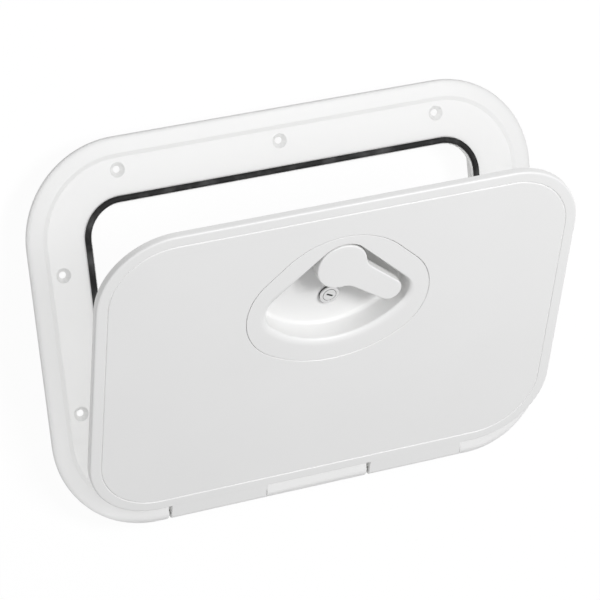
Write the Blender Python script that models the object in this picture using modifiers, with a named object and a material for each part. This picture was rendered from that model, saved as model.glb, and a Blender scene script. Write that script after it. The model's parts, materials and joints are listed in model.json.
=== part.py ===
"""A flush plastic deck hatch.

A flanged frame with a rubber gasket carries a hinged lid. A lever in the finger cup that is set
into the lid turns a cam that catches under the frame, and a key lock beside it can hold that cam.

Lengths are in metres. X runs along the hinge, Y from the hinge to the latch and Z up. Heights of
the frame count from the deck's surface, and heights in the lid from the hinge's axis.
"""

import math

import bmesh
import bpy

# Frame: the flange lies on the deck and the coaming hangs through the cut-out.
FRAME_LENGTH = 0.375
FRAME_WIDTH = 0.276
FRAME_CORNER_RADIUS = 0.0685
FLANGE_THICKNESS = 0.003
RIM_HEIGHT = 0.0052
RIM_WIDTH = 0.0126
RIM_STEP_WIDTH = 0.0018
RIM_SHOULDER_HEIGHT = 0.0044
RIM_SHOULDER_WIDTH = 0.0036
RIM_FOOT_HEIGHT = 0.001
OPENING_INSET = 0.0459
LIP_OVERHANG = 0.0085
COAMING_WALL = 0.003
COAMING_DEPTH = 0.024

# Countersunk screw holes through the flange.
SCREW_HOLE_RADIUS = 0.0024
COUNTERSINK_RADIUS = 0.00525
SCREW_LINE_INSET = 0.023
SCREW_LONG_SPACING = 0.118
SCREW_SIDE_SPACING = 0.0986

# Catch under the latch side's lip.
CATCH_LENGTH = 0.044
CATCH_WALL = 0.003
CATCH_CAM_GAP = 0.0004

# Gasket in its groove.
GASKET_INSET = 0.0407
GASKET_WIDTH = 0.0042
GASKET_GROOVE_DEPTH = 0.0012

# Hinge along the frame's far edge.
HINGE_INSET = 0.0056
KNUCKLE_RADIUS = 0.0043
KNUCKLE_CLEARANCE = 0.0007
TAB_LENGTH = 0.071
TAB_SPACING = 0.150
TAB_SIDE_GAP = 0.0007
TAB_DROP = 0.0001
TAB_THICKNESS = 0.0037
RAIL_RISE = 0.0039
RAIL_OUTER_INSET = 0.0015
RAIL_INNER_INSET = 0.0135
RAIL_END_LENGTH = 0.0128
RAIL_ROUND = 0.002
PIN_RADIUS = 0.0015
PIN_GRIP = 0.0088

# Lid, standing open by the rest angle.
LID_REST_DEGREES = 27.5
LID_SIDE_GAP = 0.0005
LID_SEAT_GAP = 0.0004
LID_EDGE_HEIGHT = 0.0058
LID_EDGE_ROUND = 0.0012
LID_SKIN = 0.0028
LID_WALL = 0.003
RIB_THICKNESS = 0.0022
RIB_DEPTH = 0.0045
RIB_OPENING_GAP = 0.009
CROSS_RIB_SPACING = 0.170
LONG_RIB_SPACING = 0.045

# Finger cup: an apex round the lever's head, two lower corners and a bowed hinge side.
CUP_DEPTH = 0.018
CUP_WALL = 0.002
CUP_FLOOR = 0.0022
CUP_LIP_GAP = 0.0012
CUP_FLOOR_ROUND = 0.004
CUP_CORNER_RADIUS = 0.0165
CUP_CORNER_OUT = 0.0355
CUP_CORNER_BACK = 0.0312
CUP_REACH = 0.0627

# The cup's insert: its outline on the lid's face and its flange on a ledge in the lid.
INSERT_APEX_RADIUS = 0.058
INSERT_APEX_REACH = 0.0267
INSERT_CORNER_RADIUS = 0.041
INSERT_CORNER_OUT = 0.0255
INSERT_CORNER_BACK = 0.0324
INSERT_REACH = 0.0811
INSERT_FLANGE = 0.0014
INSERT_LEDGE = 0.003

# Lever and its spindle.
LEVER_REST_DEGREES = -37.7
HEAD_RADIUS = 0.018
HEAD_GAP = 0.0013
LEVER_DROP = 0.0003
LEVER_THICKNESS = 0.008
LEVER_LENGTH = 0.0474
LEVER_TIP_RADIUS = 0.0085
LEVER_ROOT_HALF_WIDTH = 0.0098
LEVER_ROOT_FILLET = 0.012
LEVER_EDGE_ROUND = 0.0012
HUB_RADIUS = 0.011
SPINDLE_RADIUS = 0.0049
SPINDLE_SQUARE = 0.0064
SPINDLE_SOCKET_DEPTH = 0.009
ORING_THICKNESS = 0.0019
BUSH_WALL = 0.001
BUSH_FLANGE_RADIUS = 0.0085
BUSH_FLANGE_THICKNESS = 0.001
THRUST_WASHER_THICKNESS = 0.0008

# Latch cam under the cup.
CAM_THICKNESS = 0.004
CAM_HUB_RADIUS = 0.0085
CAM_TIP_RADIUS = 0.006
CAM_WALL_GAP = 0.0018
CAM_TAIL_LENGTH = 0.017
CAM_TAIL_RADIUS = 0.004
CAM_WASHER_RADIUS = 0.0065
CAM_WASHER_THICKNESS = 0.001
CAM_SCREW_RADIUS = 0.002
CAM_SCREW_LENGTH = 0.0095
CAM_SCREW_HEAD_RADIUS = 0.004
CAM_SCREW_HEAD_HEIGHT = 0.0025
SCREW_HEAD_RIM_SHARE = 0.33

# Key lock in the cup's floor.
LOCK_REST_DEGREES = -26.0
LOCK_DISTANCE = 0.037
LOCK_FLANGE_RADIUS = 0.007
LOCK_FLANGE_THICKNESS = 0.0012
LOCK_BARREL_RADIUS = 0.0055
LOCK_SEAL_THICKNESS = 0.0007
LOCK_WASHER_RADIUS = 0.0075
LOCK_WASHER_THICKNESS = 0.0006
LOCK_NUT_WIDTH = 0.015
LOCK_NUT_HEIGHT = 0.0025
LOCK_NUT_SIDES = 6
PLUG_RADIUS = 0.004
PLUG_HEAD_RADIUS = 0.0046
PLUG_HEAD_THICKNESS = 0.0006
PLUG_SQUARE = 0.004
KEYWAY_WIDTH = 0.0012
KEYWAY_LENGTH = 0.005
KEYWAY_DEPTH = 0.006
LOCK_CAM_THICKNESS = 0.002
LOCK_CAM_HUB_RADIUS = 0.0055
LOCK_CAM_LENGTH = 0.017
LOCK_CAM_TIP_RADIUS = 0.0035
LOCK_CAM_WASHER_RADIUS = 0.004
LOCK_CAM_WASHER_THICKNESS = 0.0006
LOCK_SCREW_RADIUS = 0.001
LOCK_SCREW_LENGTH = 0.005
LOCK_SCREW_HEAD_RADIUS = 0.003
LOCK_SCREW_HEAD_HEIGHT = 0.002

# Gap left between pieces that touch.
FIT = 0.0003

# Fineness of round shapes.
CORNER_STEPS = 10
EDGE_STEPS = 6
ARC_STEP_DEGREES = 9.0
ROUND_STEPS = 32
SMALL_ROUND_STEPS = 24
BEVEL_STEPS = 2
DOME_STEPS = 3
SHARP_DEGREES = 35.0

# Overlap that lets joined shapes and cutters pass through a surface.
BITE = 0.001

# Distance that is welded, and angle that counts as flat.
WELD = 0.000001
FLAT = 0.001

# Frame heights and places that follow from the sizes above.
DECK = COAMING_DEPTH
HALF_WIDTH = FRAME_WIDTH / 2
HALF_LENGTH = FRAME_LENGTH / 2
FACE_HEIGHT = FLANGE_THICKNESS + LID_SEAT_GAP + LID_EDGE_HEIGHT
HINGE_Y = HINGE_INSET - HALF_WIDTH
HINGE_HEIGHT = FACE_HEIGHT - TAB_DROP - KNUCKLE_RADIUS
TAB_END = (TAB_SPACING + TAB_LENGTH) / 2
TAB_START = (TAB_SPACING - TAB_LENGTH) / 2
RECESS_INSET = RIM_WIDTH + RIM_STEP_WIDTH
COAMING_INSET = OPENING_INSET - LIP_OVERHANG
LATCH_LIP_Y = HALF_WIDTH - OPENING_INSET

# Lid places, counted from the hinge's axis with the lid lying flat.
LID_INSET = RECESS_INSET + LID_SIDE_GAP
LID_FACE = KNUCKLE_RADIUS + TAB_DROP
LID_FOOT = LID_FACE - LID_EDGE_HEIGHT
LID_CENTRE_Y = -HINGE_Y
LID_EDGE_Y = LID_INSET - HINGE_INSET
CUP_APEX_RADIUS = HEAD_RADIUS + HEAD_GAP
SPINDLE_Y = LATCH_LIP_Y - CUP_LIP_GAP - CUP_WALL - CUP_APEX_RADIUS - HINGE_Y
LOCK_Y = SPINDLE_Y - LOCK_DISTANCE
BUSH_BORE = SPINDLE_RADIUS + FIT
BUSH_SLEEVE = BUSH_BORE + BUSH_WALL

# The lever locks on the other side of the cup, with the cam pointing at the catch.
LEVER_LOCKED_DEGREES = -180.0 - LEVER_REST_DEGREES
CAM_DEGREES = 90.0 - LEVER_LOCKED_DEGREES

# Heights in the lever's and the lock's stacks, counted from the lid's face.
CUP_TOP = -CUP_DEPTH
CUP_UNDER = CUP_TOP - CUP_FLOOR
BUSH_TOP = CUP_TOP + FIT + BUSH_FLANGE_THICKNESS
HUB_FOOT = BUSH_TOP + FIT
ORING_CENTRE = BUSH_TOP + FIT + ORING_THICKNESS / 2
ORING_POCKET = ORING_CENTRE + ORING_THICKNESS / 2 + FIT
JOURNAL_TOP = ORING_POCKET - FIT
BUSH_FOOT = CUP_UNDER - FIT
THRUST_TOP = BUSH_FOOT - FIT
CAM_TOP = THRUST_TOP - THRUST_WASHER_THICKNESS - FIT
CAM_FOOT = CAM_TOP - CAM_THICKNESS
CAM_WASHER_TOP = CAM_FOOT - FIT
CAM_SCREW_TOP = CAM_WASHER_TOP - CAM_WASHER_THICKNESS - FIT
LOCK_SEAL_FOOT = CUP_TOP + FIT
LOCK_FLANGE_FOOT = LOCK_SEAL_FOOT + LOCK_SEAL_THICKNESS + FIT
LOCK_FACE = LOCK_FLANGE_FOOT + LOCK_FLANGE_THICKNESS
LOCK_WASHER_TOP = CUP_UNDER - FIT
LOCK_NUT_TOP = LOCK_WASHER_TOP - LOCK_WASHER_THICKNESS - FIT
LOCK_BARREL_FOOT = LOCK_NUT_TOP - LOCK_NUT_HEIGHT - FIT
LOCK_CAM_TOP = LOCK_BARREL_FOOT - FIT
LOCK_CAM_FOOT = LOCK_CAM_TOP - LOCK_CAM_THICKNESS
LOCK_CAM_WASHER_TOP = LOCK_CAM_FOOT - FIT
LOCK_SCREW_TOP = LOCK_CAM_WASHER_TOP - LOCK_CAM_WASHER_THICKNESS - FIT

# Base colour, metallic and roughness of each finish.
FINISHES = {
    "white_plastic": ((0.83, 0.83, 0.82), 0.0, 0.45),
    "black_rubber": ((0.02, 0.02, 0.02), 0.0, 0.85),
    "grey_acetal": ((0.35, 0.35, 0.36), 0.0, 0.5),
    "stainless": ((0.62, 0.62, 0.61), 1.0, 0.3),
    "chromed": ((0.75, 0.75, 0.75), 1.0, 0.15),
}


def rounded_rectangle(inset):
    """Points of the frame's outer outline, moved inwards by the inset."""
    radius = FRAME_CORNER_RADIUS - inset
    centre_x = HALF_LENGTH - FRAME_CORNER_RADIUS
    centre_y = HALF_WIDTH - FRAME_CORNER_RADIUS
    points = []
    for quarter, (side_x, side_y) in enumerate(((1, 1), (-1, 1), (-1, -1), (1, -1))):
        for step in range(CORNER_STEPS + 1):
            angle = math.radians(90) * (quarter + step / CORNER_STEPS)
            x = side_x * centre_x + radius * math.cos(angle)
            y = side_y * centre_y + radius * math.sin(angle)
            points.append((x, y))
    return points


def tangent_angle(first, second):
    """Direction square to the line that touches two round corners, seen from their centres."""
    across = second[0] - first[0]
    along = second[1] - first[1]
    lean = (first[2] - second[2]) / math.hypot(across, along)
    return math.atan2(along, across) - math.acos(max(-1.0, min(1.0, lean)))


def arc_outline(corners, offset=0.0):
    """Outline, turning left, round corners given as (x, y, radius), grown by the offset.

    A corner with a negative radius is hollow.
    """
    points = []
    for index, (x, y, radius) in enumerate(corners):
        before = corners[index - 1]
        after = corners[(index + 1) % len(corners)]
        start = tangent_angle(before, corners[index])
        turn = tangent_angle(corners[index], after) - start
        turn = turn % math.tau if radius > 0 else -(-turn % math.tau)
        steps = max(2, math.ceil(abs(math.degrees(turn)) / ARC_STEP_DEGREES))
        for step in range(steps + 1):
            angle = start + turn * step / steps
            reach = radius + offset
            points.append((x + reach * math.cos(angle), y + reach * math.sin(angle)))
    return points


def square(side, gap=0.0):
    """Outline of a square about the origin, grown by a gap all round."""
    half = side / 2 + gap
    return [(half, half), (-half, half), (-half, -half), (half, -half)]


def circle(radius, steps):
    """Outline of a circle about the origin."""
    turns = [math.tau * step / steps for step in range(steps)]
    return [(radius * math.cos(turn), radius * math.sin(turn)) for turn in turns]


def flat_curve(name, outlines):
    """A curve made of closed straight-sided outlines."""
    curve = bpy.data.curves.new(name, "CURVE")
    curve.dimensions = "2D"
    curve.fill_mode = "NONE"
    for outline in outlines:
        spline = curve.splines.new("POLY")
        spline.points.add(len(outline) - 1)
        for point, (x, y) in zip(spline.points, outline):
            point.co = (x, y, 0.0, 1.0)
        spline.use_cyclic_u = True
    return curve


def mesh_from_curve(curve):
    """The curve's surface as one welded mesh with its faces outwards."""
    holder = bpy.data.objects.new(curve.name, curve)
    bpy.context.scene.collection.objects.link(holder)
    graph = bpy.context.evaluated_depsgraph_get()
    mesh = bpy.data.meshes.new_from_object(holder.evaluated_get(graph))
    bpy.data.objects.remove(holder)
    shape = bmesh.new()
    shape.from_mesh(mesh)
    bmesh.ops.remove_doubles(shape, verts=shape.verts, dist=WELD)
    bmesh.ops.dissolve_limit(shape, angle_limit=FLAT, verts=shape.verts, edges=shape.edges)
    bmesh.ops.recalc_face_normals(shape, faces=shape.faces)
    shape.to_mesh(mesh)
    shape.free()
    mesh.materials.clear()
    return mesh


def plate(name, outlines, foot, top):
    """A flat piece between two heights, whose first outline may hold others as holes."""
    curve = flat_curve(name, outlines)
    curve.fill_mode = "BOTH"
    curve.extrude = (top - foot) / 2
    mesh = mesh_from_curve(curve)
    for vertex in mesh.vertices:
        vertex.co.z += (top + foot) / 2
    return mesh


def sweep(name, section):
    """The closed section, as (inset, height) points, carried round the frame's outline."""
    outline = [(-inset, height) for inset, height in section]
    guide = bpy.data.objects.new(name + "_section", flat_curve(name + "_section", [outline]))
    bpy.context.scene.collection.objects.link(guide)
    path = flat_curve(name, [rounded_rectangle(0.0)])
    path.dimensions = "3D"
    path.twist_mode = "Z_UP"
    path.bevel_mode = "OBJECT"
    path.bevel_object = guide
    mesh = mesh_from_curve(path)
    bpy.data.objects.remove(guide)
    return mesh


def box(name, low, high):
    """A block between two opposite corners."""
    shape = bmesh.new()
    bmesh.ops.create_cube(shape, size=1.0)
    for vertex in shape.verts:
        for axis in range(3):
            vertex.co[axis] = high[axis] if vertex.co[axis] > 0 else low[axis]
    mesh = bpy.data.meshes.new(name)
    shape.to_mesh(mesh)
    shape.free()
    return mesh


def rod(name, radius, start, end, steps=SMALL_ROUND_STEPS):
    """A round bar along X."""
    mesh = plate(name, [circle(radius, steps)], start, end)
    for vertex in mesh.vertices:
        vertex.co = (vertex.co.z, vertex.co.x, vertex.co.y)
    return mesh


def profile_mesh(name, profile, closed):
    """A line of (radius, height) points, the start of a turned piece."""
    count = len(profile)
    edges = [(index, (index + 1) % count) for index in range(count if closed else count - 1)]
    mesh = bpy.data.meshes.new(name)
    mesh.from_pydata([(radius, 0.0, height) for radius, height in profile], edges, [])
    return mesh


def ring_profile(inner, outer, foot, top):
    """Profile of a plain ring, down its outer side and back up its bore."""
    return [(inner, top), (outer, top), (outer, foot), (inner, foot)]


class Assembly:
    """Puts pieces and cutters into their collections and under their joints."""

    def __init__(self):
        self.parts = bpy.data.collections.new("deck_hatch")
        self.cutters = bpy.data.collections.new("deck_hatch_cutters")
        for collection in (self.parts, self.cutters):
            bpy.context.scene.collection.children.link(collection)

    def joint(self, name, place, parent=None):
        """An empty on a joint's axis."""
        empty = bpy.data.objects.new(name, None)
        self.cutters.objects.link(empty)
        empty.location = place
        empty.parent = parent
        empty.hide_render = True
        return empty

    def piece(self, mesh, finish, parent=None, place=(0.0, 0.0, 0.0)):
        """A named piece with its own material."""
        thing = bpy.data.objects.new(mesh.name, mesh)
        self.parts.objects.link(thing)
        thing.parent = parent
        thing.location = place
        colour, metallic, roughness = FINISHES[finish]
        material = bpy.data.materials.new(mesh.name + "_" + finish)
        material.use_nodes = True
        shader = material.node_tree.nodes["Principled BSDF"]
        shader.inputs["Base Color"].default_value = (*colour, 1.0)
        shader.inputs["Metallic"].default_value = metallic
        shader.inputs["Roughness"].default_value = roughness
        mesh.materials.append(material)
        if mesh.polygons:
            mesh.shade_smooth()
            mesh.set_sharp_from_angle(angle=math.radians(SHARP_DEGREES))
        return thing

    def tool(self, mesh, parent=None, place=(0.0, 0.0, 0.0)):
        """A shape that is cut from a piece or joined to it."""
        thing = bpy.data.objects.new(mesh.name, mesh)
        self.cutters.objects.link(thing)
        thing.parent = parent
        thing.location = place
        thing.hide_render = True
        thing.display_type = "WIRE"
        return thing


def turn(thing, steps):
    """Turn a piece's profile once round its own Z."""
    screw = thing.modifiers.new("turn", "SCREW")
    screw.axis = "Z"
    screw.angle = math.tau
    screw.steps = steps
    screw.render_steps = steps
    screw.use_merge_vertices = True
    screw.merge_threshold = WELD
    screw.use_smooth_shade = True
    return thing


def soften(thing, width, steps=BEVEL_STEPS):
    """Round a piece's sharp edges."""
    bevel = thing.modifiers.new("soften", "BEVEL")
    bevel.width = width
    bevel.segments = steps
    bevel.limit_method = "ANGLE"
    bevel.angle_limit = math.radians(SHARP_DEGREES)
    return thing


def combine(thing, tool, operation):
    """Cut a shape from a piece or join it on."""
    change = thing.modifiers.new(tool.name, "BOOLEAN")
    change.solver = "EXACT"
    change.operation = operation
    change.object = tool


def frame_section():
    """The frame's cross-section, from the foot of its outer edge round to the flange's underside."""
    section = [(0.0, DECK)]
    for step in range(EDGE_STEPS + 1):
        angle = math.radians(90) * step / EDGE_STEPS
        inset = RIM_SHOULDER_WIDTH * (1 - math.cos(angle))
        rise = (RIM_SHOULDER_HEIGHT - RIM_FOOT_HEIGHT) * math.sin(angle)
        section.append((inset, DECK + RIM_FOOT_HEIGHT + rise))
    floor = DECK + FLANGE_THICKNESS
    groove = floor - GASKET_GROOVE_DEPTH
    groove_start = GASKET_INSET - FIT
    groove_end = GASKET_INSET + GASKET_WIDTH + FIT
    section += [
        (RIM_WIDTH, DECK + RIM_HEIGHT),
        (RECESS_INSET, floor),
        (groove_start, floor),
        (groove_start, groove),
        (groove_end, groove),
        (groove_end, floor),
        (OPENING_INSET, floor),
        (OPENING_INSET, DECK),
        (COAMING_INSET, DECK),
        (COAMING_INSET, DECK - COAMING_DEPTH),
        (COAMING_INSET - COAMING_WALL, DECK - COAMING_DEPTH),
        (COAMING_INSET - COAMING_WALL, DECK),
    ]
    return section


def screw_places():
    """Centres of the screw holes in the flange."""
    row = HALF_WIDTH - SCREW_LINE_INSET
    column = HALF_LENGTH - SCREW_LINE_INSET
    half = SCREW_SIDE_SPACING / 2
    places = []
    for side in (-1, 1):
        places += [(x, side * row) for x in (-SCREW_LONG_SPACING, 0.0, SCREW_LONG_SPACING)]
        places += [(side * column, y) for y in (-half, half)]
    return places


def build_frame(hatch):
    """The frame with its hinge rail, screw holes and catch."""
    frame = hatch.piece(sweep("frame", frame_section()), "white_plastic")
    rail_end = TAB_END + TAB_SIDE_GAP + RAIL_END_LENGTH
    axis = (0.0, HINGE_Y, DECK + HINGE_HEIGHT)
    low = (-rail_end, RAIL_OUTER_INSET - HALF_WIDTH, DECK + RIM_FOOT_HEIGHT)
    high = (rail_end, RAIL_INNER_INSET - HALF_WIDTH, DECK + HINGE_HEIGHT + RAIL_RISE)
    rail = hatch.tool(box("hinge_rail", low, high))
    combine(frame, soften(rail, RAIL_ROUND), "UNION")
    back = KNUCKLE_RADIUS + KNUCKLE_CLEARANCE + HINGE_Y
    recess = RECESS_INSET - HALF_WIDTH
    floor = DECK + FLANGE_THICKNESS
    above = DECK + FACE_HEIGHT + BITE
    for side, name in ((-1, "left"), (1, "right")):
        ends = sorted((side * (TAB_START - TAB_SIDE_GAP), side * (TAB_END + TAB_SIDE_GAP)))
        slot = box("slot_" + name, (ends[0], -HALF_WIDTH - BITE, DECK - BITE), (ends[1], back, above))
        combine(frame, hatch.tool(slot), "DIFFERENCE")
        dip = box("dip_" + name, (ends[0], back - BITE, floor), (ends[1], recess, above))
        combine(frame, hatch.tool(dip), "DIFFERENCE")
        grip = TAB_SIDE_GAP + PIN_GRIP + FIT
        reach = sorted((side * (TAB_START - grip), side * (TAB_END + grip)))
        bore = rod("pin_bore_" + name, PIN_RADIUS + FIT, reach[0], reach[1])
        combine(frame, hatch.tool(bore, None, axis), "DIFFERENCE")
    for index, (x, y) in enumerate(screw_places(), 1):
        profile = [
            (0.0, floor + BITE),
            (COUNTERSINK_RADIUS + BITE, floor + BITE),
            (SCREW_HOLE_RADIUS, floor + SCREW_HOLE_RADIUS - COUNTERSINK_RADIUS),
            (SCREW_HOLE_RADIUS, DECK - BITE),
            (0.0, DECK - BITE),
        ]
        mesh = profile_mesh("screw_hole_{:02d}".format(index), profile, False)
        hole = turn(hatch.tool(mesh, None, (x, y, 0.0)), SMALL_ROUND_STEPS)
        combine(frame, hole, "DIFFERENCE")
    build_catch(hatch, frame)


def build_catch(hatch, frame):
    """The rib that the latch cam turns under, tied to the coaming by a web at each end."""
    foot = DECK + FACE_HEIGHT + CAM_TOP + CATCH_CAM_GAP
    head = DECK + FLANGE_THICKNESS / 2
    half = CATCH_LENGTH / 2
    front = LATCH_LIP_Y + FIT
    rib = box("catch_rib", (-half, front, foot), (half, front + CATCH_WALL, head))
    combine(frame, hatch.tool(rib), "UNION")
    wall = HALF_WIDTH - COAMING_INSET + COAMING_WALL / 2
    for side, name in ((-1, "left"), (1, "right")):
        ends = sorted((side * (half - FIT), side * (half - FIT - CATCH_WALL)))
        web = box("catch_web_" + name, (ends[0], front + BITE, foot + BITE), (ends[1], wall, head))
        combine(frame, hatch.tool(web), "UNION")


def build_gasket(hatch):
    """The rubber strip that the lid closes on."""
    foot = DECK + FLANGE_THICKNESS - GASKET_GROOVE_DEPTH + FIT
    top = DECK + FACE_HEIGHT - LID_SKIN - FIT
    half = GASKET_WIDTH / 2
    middle = GASKET_INSET + half
    section = [(middle + half, foot), (middle - half, foot)]
    for step in range(EDGE_STEPS + 1):
        angle = math.radians(180) * (1 - step / EDGE_STEPS)
        section.append((middle + half * math.cos(angle), top - half + half * math.sin(angle)))
    hatch.piece(sweep("gasket", section), "black_rubber")


def build_pins(hatch):
    """The two pins that join the lid's tabs to the hinge rail."""
    axis = (0.0, HINGE_Y, DECK + HINGE_HEIGHT)
    start = TAB_START - TAB_SIDE_GAP - PIN_GRIP
    end = TAB_END + TAB_SIDE_GAP + PIN_GRIP
    hatch.piece(rod("hinge_pin_left", PIN_RADIUS, -end, -start), "stainless", None, axis)
    hatch.piece(rod("hinge_pin_right", PIN_RADIUS, start, end), "stainless", None, axis)


def bowed_corners(apex, radius, out, back, reach):
    """Round corners of an outline with an apex, two lower corners and a bowed lower side."""
    spare = reach - back - radius
    bow_y = (out ** 2 - spare ** 2) / (2 * spare) - back
    return [apex, (-out, -back, radius), (0.0, bow_y, bow_y + reach), (out, -back, radius)]


def cup_outline(offset=0.0):
    """The cup's outline about the spindle."""
    corners = bowed_corners((0.0, 0.0, CUP_APEX_RADIUS), CUP_CORNER_RADIUS, CUP_CORNER_OUT,
                            CUP_CORNER_BACK, CUP_REACH)
    return arc_outline(corners, offset)


def insert_outline(offset=0.0):
    """The outline of the cup's insert about the spindle."""
    apex = (0.0, INSERT_APEX_REACH - INSERT_APEX_RADIUS, INSERT_APEX_RADIUS)
    corners = bowed_corners(apex, INSERT_CORNER_RADIUS, INSERT_CORNER_OUT, INSERT_CORNER_BACK, INSERT_REACH)
    return arc_outline(corners, offset)


def tab_outline():
    """A hinge tab's end view as (Y, Z): a knuckle round the axis with a flat to the lid's edge."""
    end = LID_EDGE_Y + LID_WALL / 2
    low = KNUCKLE_RADIUS - TAB_THICKNESS
    points = [(end, low), (end, KNUCKLE_RADIUS)]
    last = math.tau + math.asin(low / KNUCKLE_RADIUS)
    steps = 2 * CORNER_STEPS
    for step in range(steps + 1):
        angle = math.radians(90) + (last - math.radians(90)) * step / steps
        points.append((KNUCKLE_RADIUS * math.cos(angle), KNUCKLE_RADIUS * math.sin(angle)))
    return points


def build_lid(hatch, hinge):
    """The lid with its ribs, hinge tabs and the seat for the cup's insert."""
    outline = [(x, y + LID_CENTRE_Y) for x, y in rounded_rectangle(LID_INSET)]
    lid = hatch.piece(plate("lid", [outline], LID_FOOT, LID_FACE), "white_plastic", hinge)
    soften(lid, LID_EDGE_ROUND)
    under = LID_FACE - LID_SKIN
    hollow = [(x, y + LID_CENTRE_Y) for x, y in rounded_rectangle(LID_INSET + LID_WALL)]
    combine(lid, hatch.tool(plate("lid_hollow", [hollow], LID_FOOT - BITE, under), hinge), "DIFFERENCE")
    build_ribs(hatch, hinge, lid)
    middle = (0.0, SPINDLE_Y, LID_FACE)
    seat = plate("insert_seat", [insert_outline()], -INSERT_FLANGE - FIT, BITE)
    combine(lid, hatch.tool(seat, hinge, middle), "DIFFERENCE")
    hole = plate("insert_hole", [insert_outline(-INSERT_LEDGE)], -LID_SKIN - BITE, BITE)
    combine(lid, hatch.tool(hole, hinge, middle), "DIFFERENCE")
    for side, name in ((-1, "left"), (1, "right")):
        ends = sorted((side * TAB_START, side * TAB_END))
        tab = plate("tab_" + name, [tab_outline()], ends[0], ends[1])
        for vertex in tab.vertices:
            vertex.co = (vertex.co.z, vertex.co.x, vertex.co.y)
        combine(lid, hatch.tool(tab, hinge), "UNION")
    reach = TAB_END + BITE
    bore = rod("tab_bore", PIN_RADIUS + FIT, -reach, reach)
    combine(lid, hatch.tool(bore, hinge), "DIFFERENCE")


def build_cup(hatch, hinge):
    """The insert with the finger cup, the spindle's hole and the lock's hole."""
    middle = (0.0, SPINDLE_Y, LID_FACE)
    insert = plate("cup_insert", [insert_outline(-FIT)], -INSERT_FLANGE, 0.0)
    insert = hatch.piece(insert, "white_plastic", hinge, middle)
    above = CUP_FLOOR_ROUND + BITE
    shell = plate("cup_shell", [cup_outline(CUP_WALL)], CUP_UNDER, above)
    shell = soften(hatch.tool(shell, hinge, middle), CUP_FLOOR_ROUND)
    low = (-INSERT_REACH, -INSERT_REACH, -INSERT_FLANGE / 2)
    trim = box("shell_trim", low, (INSERT_REACH, INSERT_REACH, above + BITE))
    combine(shell, hatch.tool(trim, hinge, middle), "DIFFERENCE")
    combine(insert, shell, "UNION")
    space = plate("cup_space", [cup_outline()], CUP_TOP, above)
    combine(insert, soften(hatch.tool(space, hinge, middle), CUP_FLOOR_ROUND), "DIFFERENCE")
    holes = (
        ("spindle_hole", BUSH_SLEEVE + FIT, middle),
        ("lock_hole", LOCK_BARREL_RADIUS + FIT, (0.0, LOCK_Y, LID_FACE)),
    )
    for name, radius, place in holes:
        hole = plate(name, [circle(radius, ROUND_STEPS)], CUP_UNDER - BITE, CUP_TOP + BITE)
        combine(insert, hatch.tool(hole, hinge, place), "DIFFERENCE")


def build_ribs(hatch, hinge, lid):
    """Stiffening ribs under the lid, inside the opening."""
    half = HALF_LENGTH - OPENING_INSET - RIB_OPENING_GAP
    start = OPENING_INSET - HINGE_INSET + RIB_OPENING_GAP
    end = FRAME_WIDTH - OPENING_INSET - HINGE_INSET - RIB_OPENING_GAP
    head = LID_FACE - LID_SKIN / 2
    foot = LID_FACE - LID_SKIN - RIB_DEPTH
    width = RIB_THICKNESS / 2
    for index in range(2):
        y = start + index * LONG_RIB_SPACING
        rib = box("long_rib_{}".format(index + 1), (-half, y - width, foot), (half, y + width, head))
        combine(lid, hatch.tool(rib, hinge), "UNION")
    for side, name in ((-1, "left"), (0, "middle"), (1, "right")):
        x = side * CROSS_RIB_SPACING / 2
        last = end if side else SPINDLE_Y - INSERT_REACH
        rib = box("cross_rib_" + name, (x - width, start, foot + FIT), (x + width, last, head))
        combine(lid, hatch.tool(rib, hinge), "UNION")


def lever_outline():
    """The lever's outline about the spindle: a round head and a tapered arm along X."""
    rise = LEVER_ROOT_HALF_WIDTH + LEVER_ROOT_FILLET
    run = math.sqrt((HEAD_RADIUS + LEVER_ROOT_FILLET) ** 2 - rise ** 2)
    return arc_outline([
        (LEVER_LENGTH, 0.0, LEVER_TIP_RADIUS),
        (run, rise, -LEVER_ROOT_FILLET),
        (0.0, 0.0, HEAD_RADIUS),
        (run, -rise, -LEVER_ROOT_FILLET),
    ])


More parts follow.
